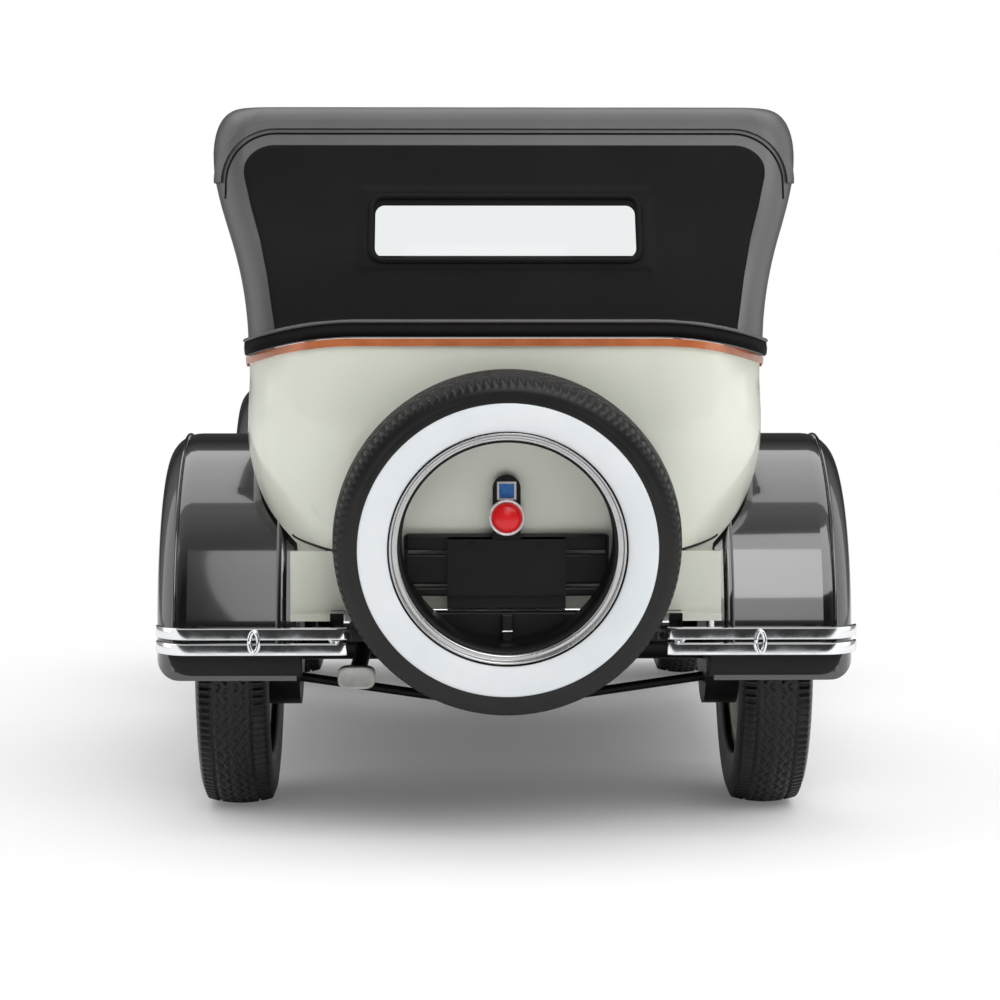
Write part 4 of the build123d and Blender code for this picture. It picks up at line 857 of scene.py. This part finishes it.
def make_tailpipe(found):
    """Bright end of the tailpipe round the exhaust's end: a rounded oblong with a shallow hollow.
    The profile is a ring of (distance behind the exhaust's end, share of the oblong's size)."""
    node = frame["nodes"]["exhaust"]
    places = np.array([v.co for v in node.data.vertices]) / MM
    end = places[places[:, 1] > places[:, 1].max() - 0.6]
    low, high = end.min(axis=0), end.max(axis=0)
    middle, half = (low + high) / 2, (high - low) / 2 + 0.12
    turns = np.linspace(0, 2 * np.pi, 48, endpoint=False)
    cx, cz = np.cos(turns), np.sin(turns)
    x = middle[0] + half[0] * np.sign(cx) * np.abs(cx) ** 0.5
    z = middle[2] + half[2] * np.sign(cz) * np.abs(cz) ** 0.62
    profile = ((-2.2, 1.0), (0.05, 1.0), (0.2, 0.93), (0.22, 0.8), (0.12, 0.7), (0.12, 0.0))
    rows = [np.stack([middle[0] + k * (x - middle[0]), np.full(48, high[1] + d),
                      middle[2] + k * (z - middle[2])], axis=-1) for d, k in profile]
    back = rows[0].mean(axis=0, keepdims=True)
    points = np.stack([np.repeat(back, 48, 0)] + rows)
    quads = grid_quads(len(points), 48, close_columns=True)
    silver = found["silver_paint"]
    tidy(put_mesh("tailpipe_end", points, quads, silver, "car"), 0.001)


# Rear curtain, a dark sheet of painted shade on the top's tail
def loop(half, low, high, corner, turns, foot=None):
    """Rounded rectangle about x = 0 as a ring of (x, z). In each quarter a third of the turn climbs the side,
    a sixth goes round the corner's arc and half runs along the end; foot is the lower corners' radius."""
    around = np.where(np.sin(turns) >= 0, corner, corner if foot is None else foot)
    share = np.arcsin(np.clip(np.abs(np.sin(turns)), 0, 1)) / (np.pi / 2)
    climb = np.clip(share / 0.34, 0, 1)
    bend = np.clip((share - 0.34) / 0.16, 0, 1) * np.pi / 2
    run = np.clip((share - 0.5) / 0.5, 0, 1)
    tall = (high - low) / 2 - around
    x = np.sign(np.cos(turns)) * ((half - around) * (1 - run) + around * np.cos(bend))
    z = (low + high) / 2 + np.sign(np.sin(turns)) * (tall * climb + around * np.sin(bend))
    return x, z


def crown(x):
    """Height of the belt's upper edge across the tail: level, then an arc down to the corners."""
    flat, half, rise = 21.0, 37.7, 3.1
    radius = ((half - flat) ** 2 + rise ** 2) / (2 * rise)
    fall = radius - np.sqrt(radius ** 2 - np.clip(np.abs(x) - flat, 0, half - flat) ** 2)
    return 66.5 + 1.1 + rise - fall


def on_tail(x, z, lift):
    """Point on the top's tail at a place in the end view, lifted towards the back."""
    place, _ = meet("top_canopy", (x, 200, z), (0, -1, 0))
    return None if place is None or place[1] < TAIL_FROM_Y else place + np.array([0, lift, 0])


def make_hem(found):
    """Black hem along the curtain's foot with a raised cord over it, and a second seam under the roof's edge.
    The hem is a low crowned strip whose lift is taken along the top's own normal, so it turns the corners."""
    black = found["curtain_shade_black"]
    flat = np.array([1, 1, 0])
    rows, cord = [], []
    for x in 36.7 * np.sin(np.linspace(-np.pi / 2, np.pi / 2, 110)):
        front, back = [], []
        for share, lift in ((0.0, -0.1), (0.08, 0.24), (0.5, 0.34), (0.92, 0.24), (1.0, -0.1)):
            z = crown(x) + 0.12 + 2.0 * share
            place, normal = meet("top_canopy", (x, 200, max(z, crown(x) + 0.5)), (0, -1, 0))
            if place is None or place[1] < HEM_FROM_Y:
                break
            place[2] = z
            front.append(place + normal * lift * flat)
            back.append(place - normal * 0.4 * flat)
        if len(front) == 5:
            rows.append(front + back[::-1])
        place, normal = meet("top_canopy", (x, 200, crown(x) + 2.25), (0, -1, 0))
        if place is not None and place[1] > HEM_FROM_Y:
            cord.append(place + normal * 0.18)
    points = capped(np.array(rows))
    quads = grid_quads(len(points), 10, close_columns=True)
    tidy(put_mesh("curtain_hem", points, quads, black, "car"), 0.001)
    # The cord takes the top's lightened charcoal: painted sheen along the hem's ridge
    tube("curtain_hem_cord", cord, 0.25, found["top_plastic"], "car", 10)
    arc = np.linspace(math.pi, math.pi / 2, 18)
    left = [(-39.85, 90.5), (-39.85, 91.6)]
    left += [(-32.8 + 7.05 * math.cos(t), 92.84 + 7.05 * math.sin(t)) for t in arc]
    line = left + [(a, 99.89) for a in np.linspace(-30, 30, 30)] + [(-a, b) for a, b in reversed(left)]
    seam = [q for q in (on_tail(a, b, 0.02) for a, b in line) if q is not None]
    tube("roof_seam", seam, 0.15, black, "car", 8)


def make_curtain(found):
    """Dark rear curtain: a sheet blended between the window's rounded opening and the curtain's own outline,
    laid on the top's tail and standing a little proud of it, with a rounded frame round the window.
    Its black against the top's lighter charcoal is painted shade on the tail."""
    turns = np.linspace(0, 2 * np.pi, 240, endpoint=False)
    inner_x, inner_z = loop(18.4, 82.0, 89.4, 1.3, turns)
    outer_x, outer_z = loop(37.9, 68.6, 98.2, 4.9, turns, 0.8)
    heights = [68.0, 72.0, 79.3, 84.6, 89.4, 95.7, 98.2]
    halves = [31.9, 32.2, 33.4, 34.6, 36.1, 37.7, 37.9]
    outer_x = outer_x * np.interp(outer_z, heights, halves) / 37.9
    outer_z = np.maximum(outer_z, crown(outer_x) + 0.8)
    blend = np.linspace(0, 1, 32)[None, :] ** 1.1
    x = inner_x[:, None] * (1 - blend) + outer_x[:, None] * blend
    z = inner_z[:, None] * (1 - blend) + outer_z[:, None] * blend
    # Depth of the tail beside the window, at each height
    met = [(h, meet("top_canopy", (CLEAR_X, 200, h), (0, -1, 0))[0]) for h in np.linspace(66, 100, 120)]
    rows, beside = np.array([(h, q[1]) for h, q in met if q is not None and q[1] > TAIL_FROM_Y]).T

    def depth(across, height):
        """Place of the tail along Y, read clear of the window; where nothing is met, as beside the window."""
        clear = math.copysign(max(abs(across), CLEAR_X), across)
        place, _ = meet("top_canopy", (clear, 200, height), (0, -1, 0))
        if place is not None and place[1] > TAIL_FROM_Y:
            return place[1]
        return np.interp(height, rows, beside)

    y = np.vectorize(depth, otypes=[float])(x, z)
    gap = np.maximum(np.abs(x) - 18.9, np.maximum(z - 90.3, 82.0 - z))
    proud = np.clip((2.1 - gap) / 0.8, 0, 1)
    y += 0.14 + 0.34 * proud ** 2 * (3 - 2 * proud)
    # Both edges turn in so that the sheet closes on the moulding
    front = np.stack([x, y, z], axis=-1)
    back = front[:, ::-1] - np.array([0, 0.5, 0])
    points = np.concatenate([front, back], axis=1)
    quads = grid_quads(points.shape[0], points.shape[1], close_rows=True, close_columns=True)
    tidy(put_mesh("rear_curtain", points, quads, found["curtain_shade_black"], "car"))
    frame_x, frame_z = loop(18.95, 81.45, 90.6, 1.6, turns[::2])
    frame_y = np.interp(frame_z, rows, beside) + 0.42
    frame_path = np.stack([frame_x, frame_y, frame_z], axis=-1)
    tube("curtain_window_frame", frame_path, 0.5, found["curtain_shade_black"], "car", 12,
         closed=True, up=(0, 1, 0))
    make_hem(found)


# Seats
def cushion(name, middle, half, lean, channels, vinyl):
    """Padded block: a rounded section swept across the car, drawn in at its ends and along each sewn channel.
    The upper side swells between the channels; lean turns it about the X axis."""
    wide, deep, tall = half
    n, m = 24 * channels + 1, 56
    x = np.linspace(-1, 1, n)
    end = np.clip(1 - np.abs(x) ** 14, 0, 1) ** 0.5
    wave = np.abs(np.sin(np.pi * channels * (x + 1) / 2))
    dip = 0.16 * (1 - wave ** 0.5)
    turn = np.linspace(0, 2 * np.pi, m, endpoint=False)
    cy, cz = np.cos(turn), np.sin(turn)
    power = 0.42
    sy = np.sign(cy) * np.abs(cy) ** power
    sz = np.sign(cz) * np.abs(cz) ** power
    upper = np.clip(cz, 0, 1) ** 0.3
    swell = 1 - dip[:, None] * upper[None, :]
    bow = 1 + 0.10 * (1 - sy[None, :] ** 2) * (1 - x[:, None] ** 4) * (cz[None, :] > 0)
    py = deep * sy[None, :] * end[:, None] * (1 - 0.03 * (1 - wave[:, None]))
    pz = tall * sz[None, :] * (0.25 + 0.75 * end[:, None]) * swell * bow
    px = np.broadcast_to(wide * x[:, None], py.shape)
    c, d = math.cos(lean), math.sin(lean)
    points = np.stack([middle[0] + px, middle[1] + c * py - d * pz, middle[2] + d * py + c * pz], axis=-1)
    points = capped(points)
    quads = grid_quads(len(points), m, close_columns=True)
    piece = tidy(put_mesh(name, points, quads, vinyl, "car"), 0.001)


def box_piece(name, low, high, material, bevel=0.3):
    """Block of the car's body with softened edges, between two corners."""
    low, high = np.array(low, dtype=float), np.array(high, dtype=float)
    corners = np.array([(x, y, z) for x in (0, 1) for y in (0, 1) for z in (0, 1)])
    faces = [(0, 1, 3, 2), (4, 6, 7, 5), (0, 4, 5, 1), (2, 3, 7, 6), (0, 2, 6, 4), (1, 5, 7, 3)]
    piece = put_mesh(name, low + corners * (high - low), faces, material, "car", smooth=False)
    soften = piece.modifiers.new("soften", "BEVEL")
    soften.width, soften.segments = bevel * MM, 2
    return tidy(piece)


def make_seats(found):
    """Front and rear benches: a box, a pleated cushion and a pleated back each."""
    vinyl, black = found["seat_vinyl"], found["black_plastic"]
    rows = (("front_seat", 0.5, 19.0, 28.4, 1.0), ("rear_seat", 77.0, 98.0, 27.2, 4.5))
    channels, z0 = 12, FLOOR_TOP_Z
    for name, y0, y1, half, lean in rows:
        low, high = (-half + 0.6, y0 + 0.8, z0), (half - 0.6, y1 - 3.4, z0 + 6.6)
        base = box_piece(f"{name}_box", low, high, black)
        middle, size = (0, (y0 + y1 - 3.2) / 2 - 0.2, z0 + 9.4), (half, (y1 - 3.2 - y0) / 2, 2.9)
        cushion(f"{name}_cushion", middle, size, math.radians(-5), channels, vinyl)
        slope = math.atan2(lean, 28.0)
        middle = (0, y1 - 1.9 + lean * 0.62, z0 + 18.6)
        cushion(f"{name}_back", middle, (half, 9.4, 1.75), math.pi / 2 - slope, channels, vinyl)
        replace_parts(base, name)


make_stage()
finishes = make_materials()
dress_frame(finishes)
make_tyres(finishes)
make_fender_beads(finishes)
make_bumpers(finishes)
make_belt(finishes)
make_lamps(finishes)
make_hubs(finishes)
make_seats(finishes)
make_curtain(finishes)
make_carrier(finishes)
make_badge(finishes)
make_tailpipe(finishes)
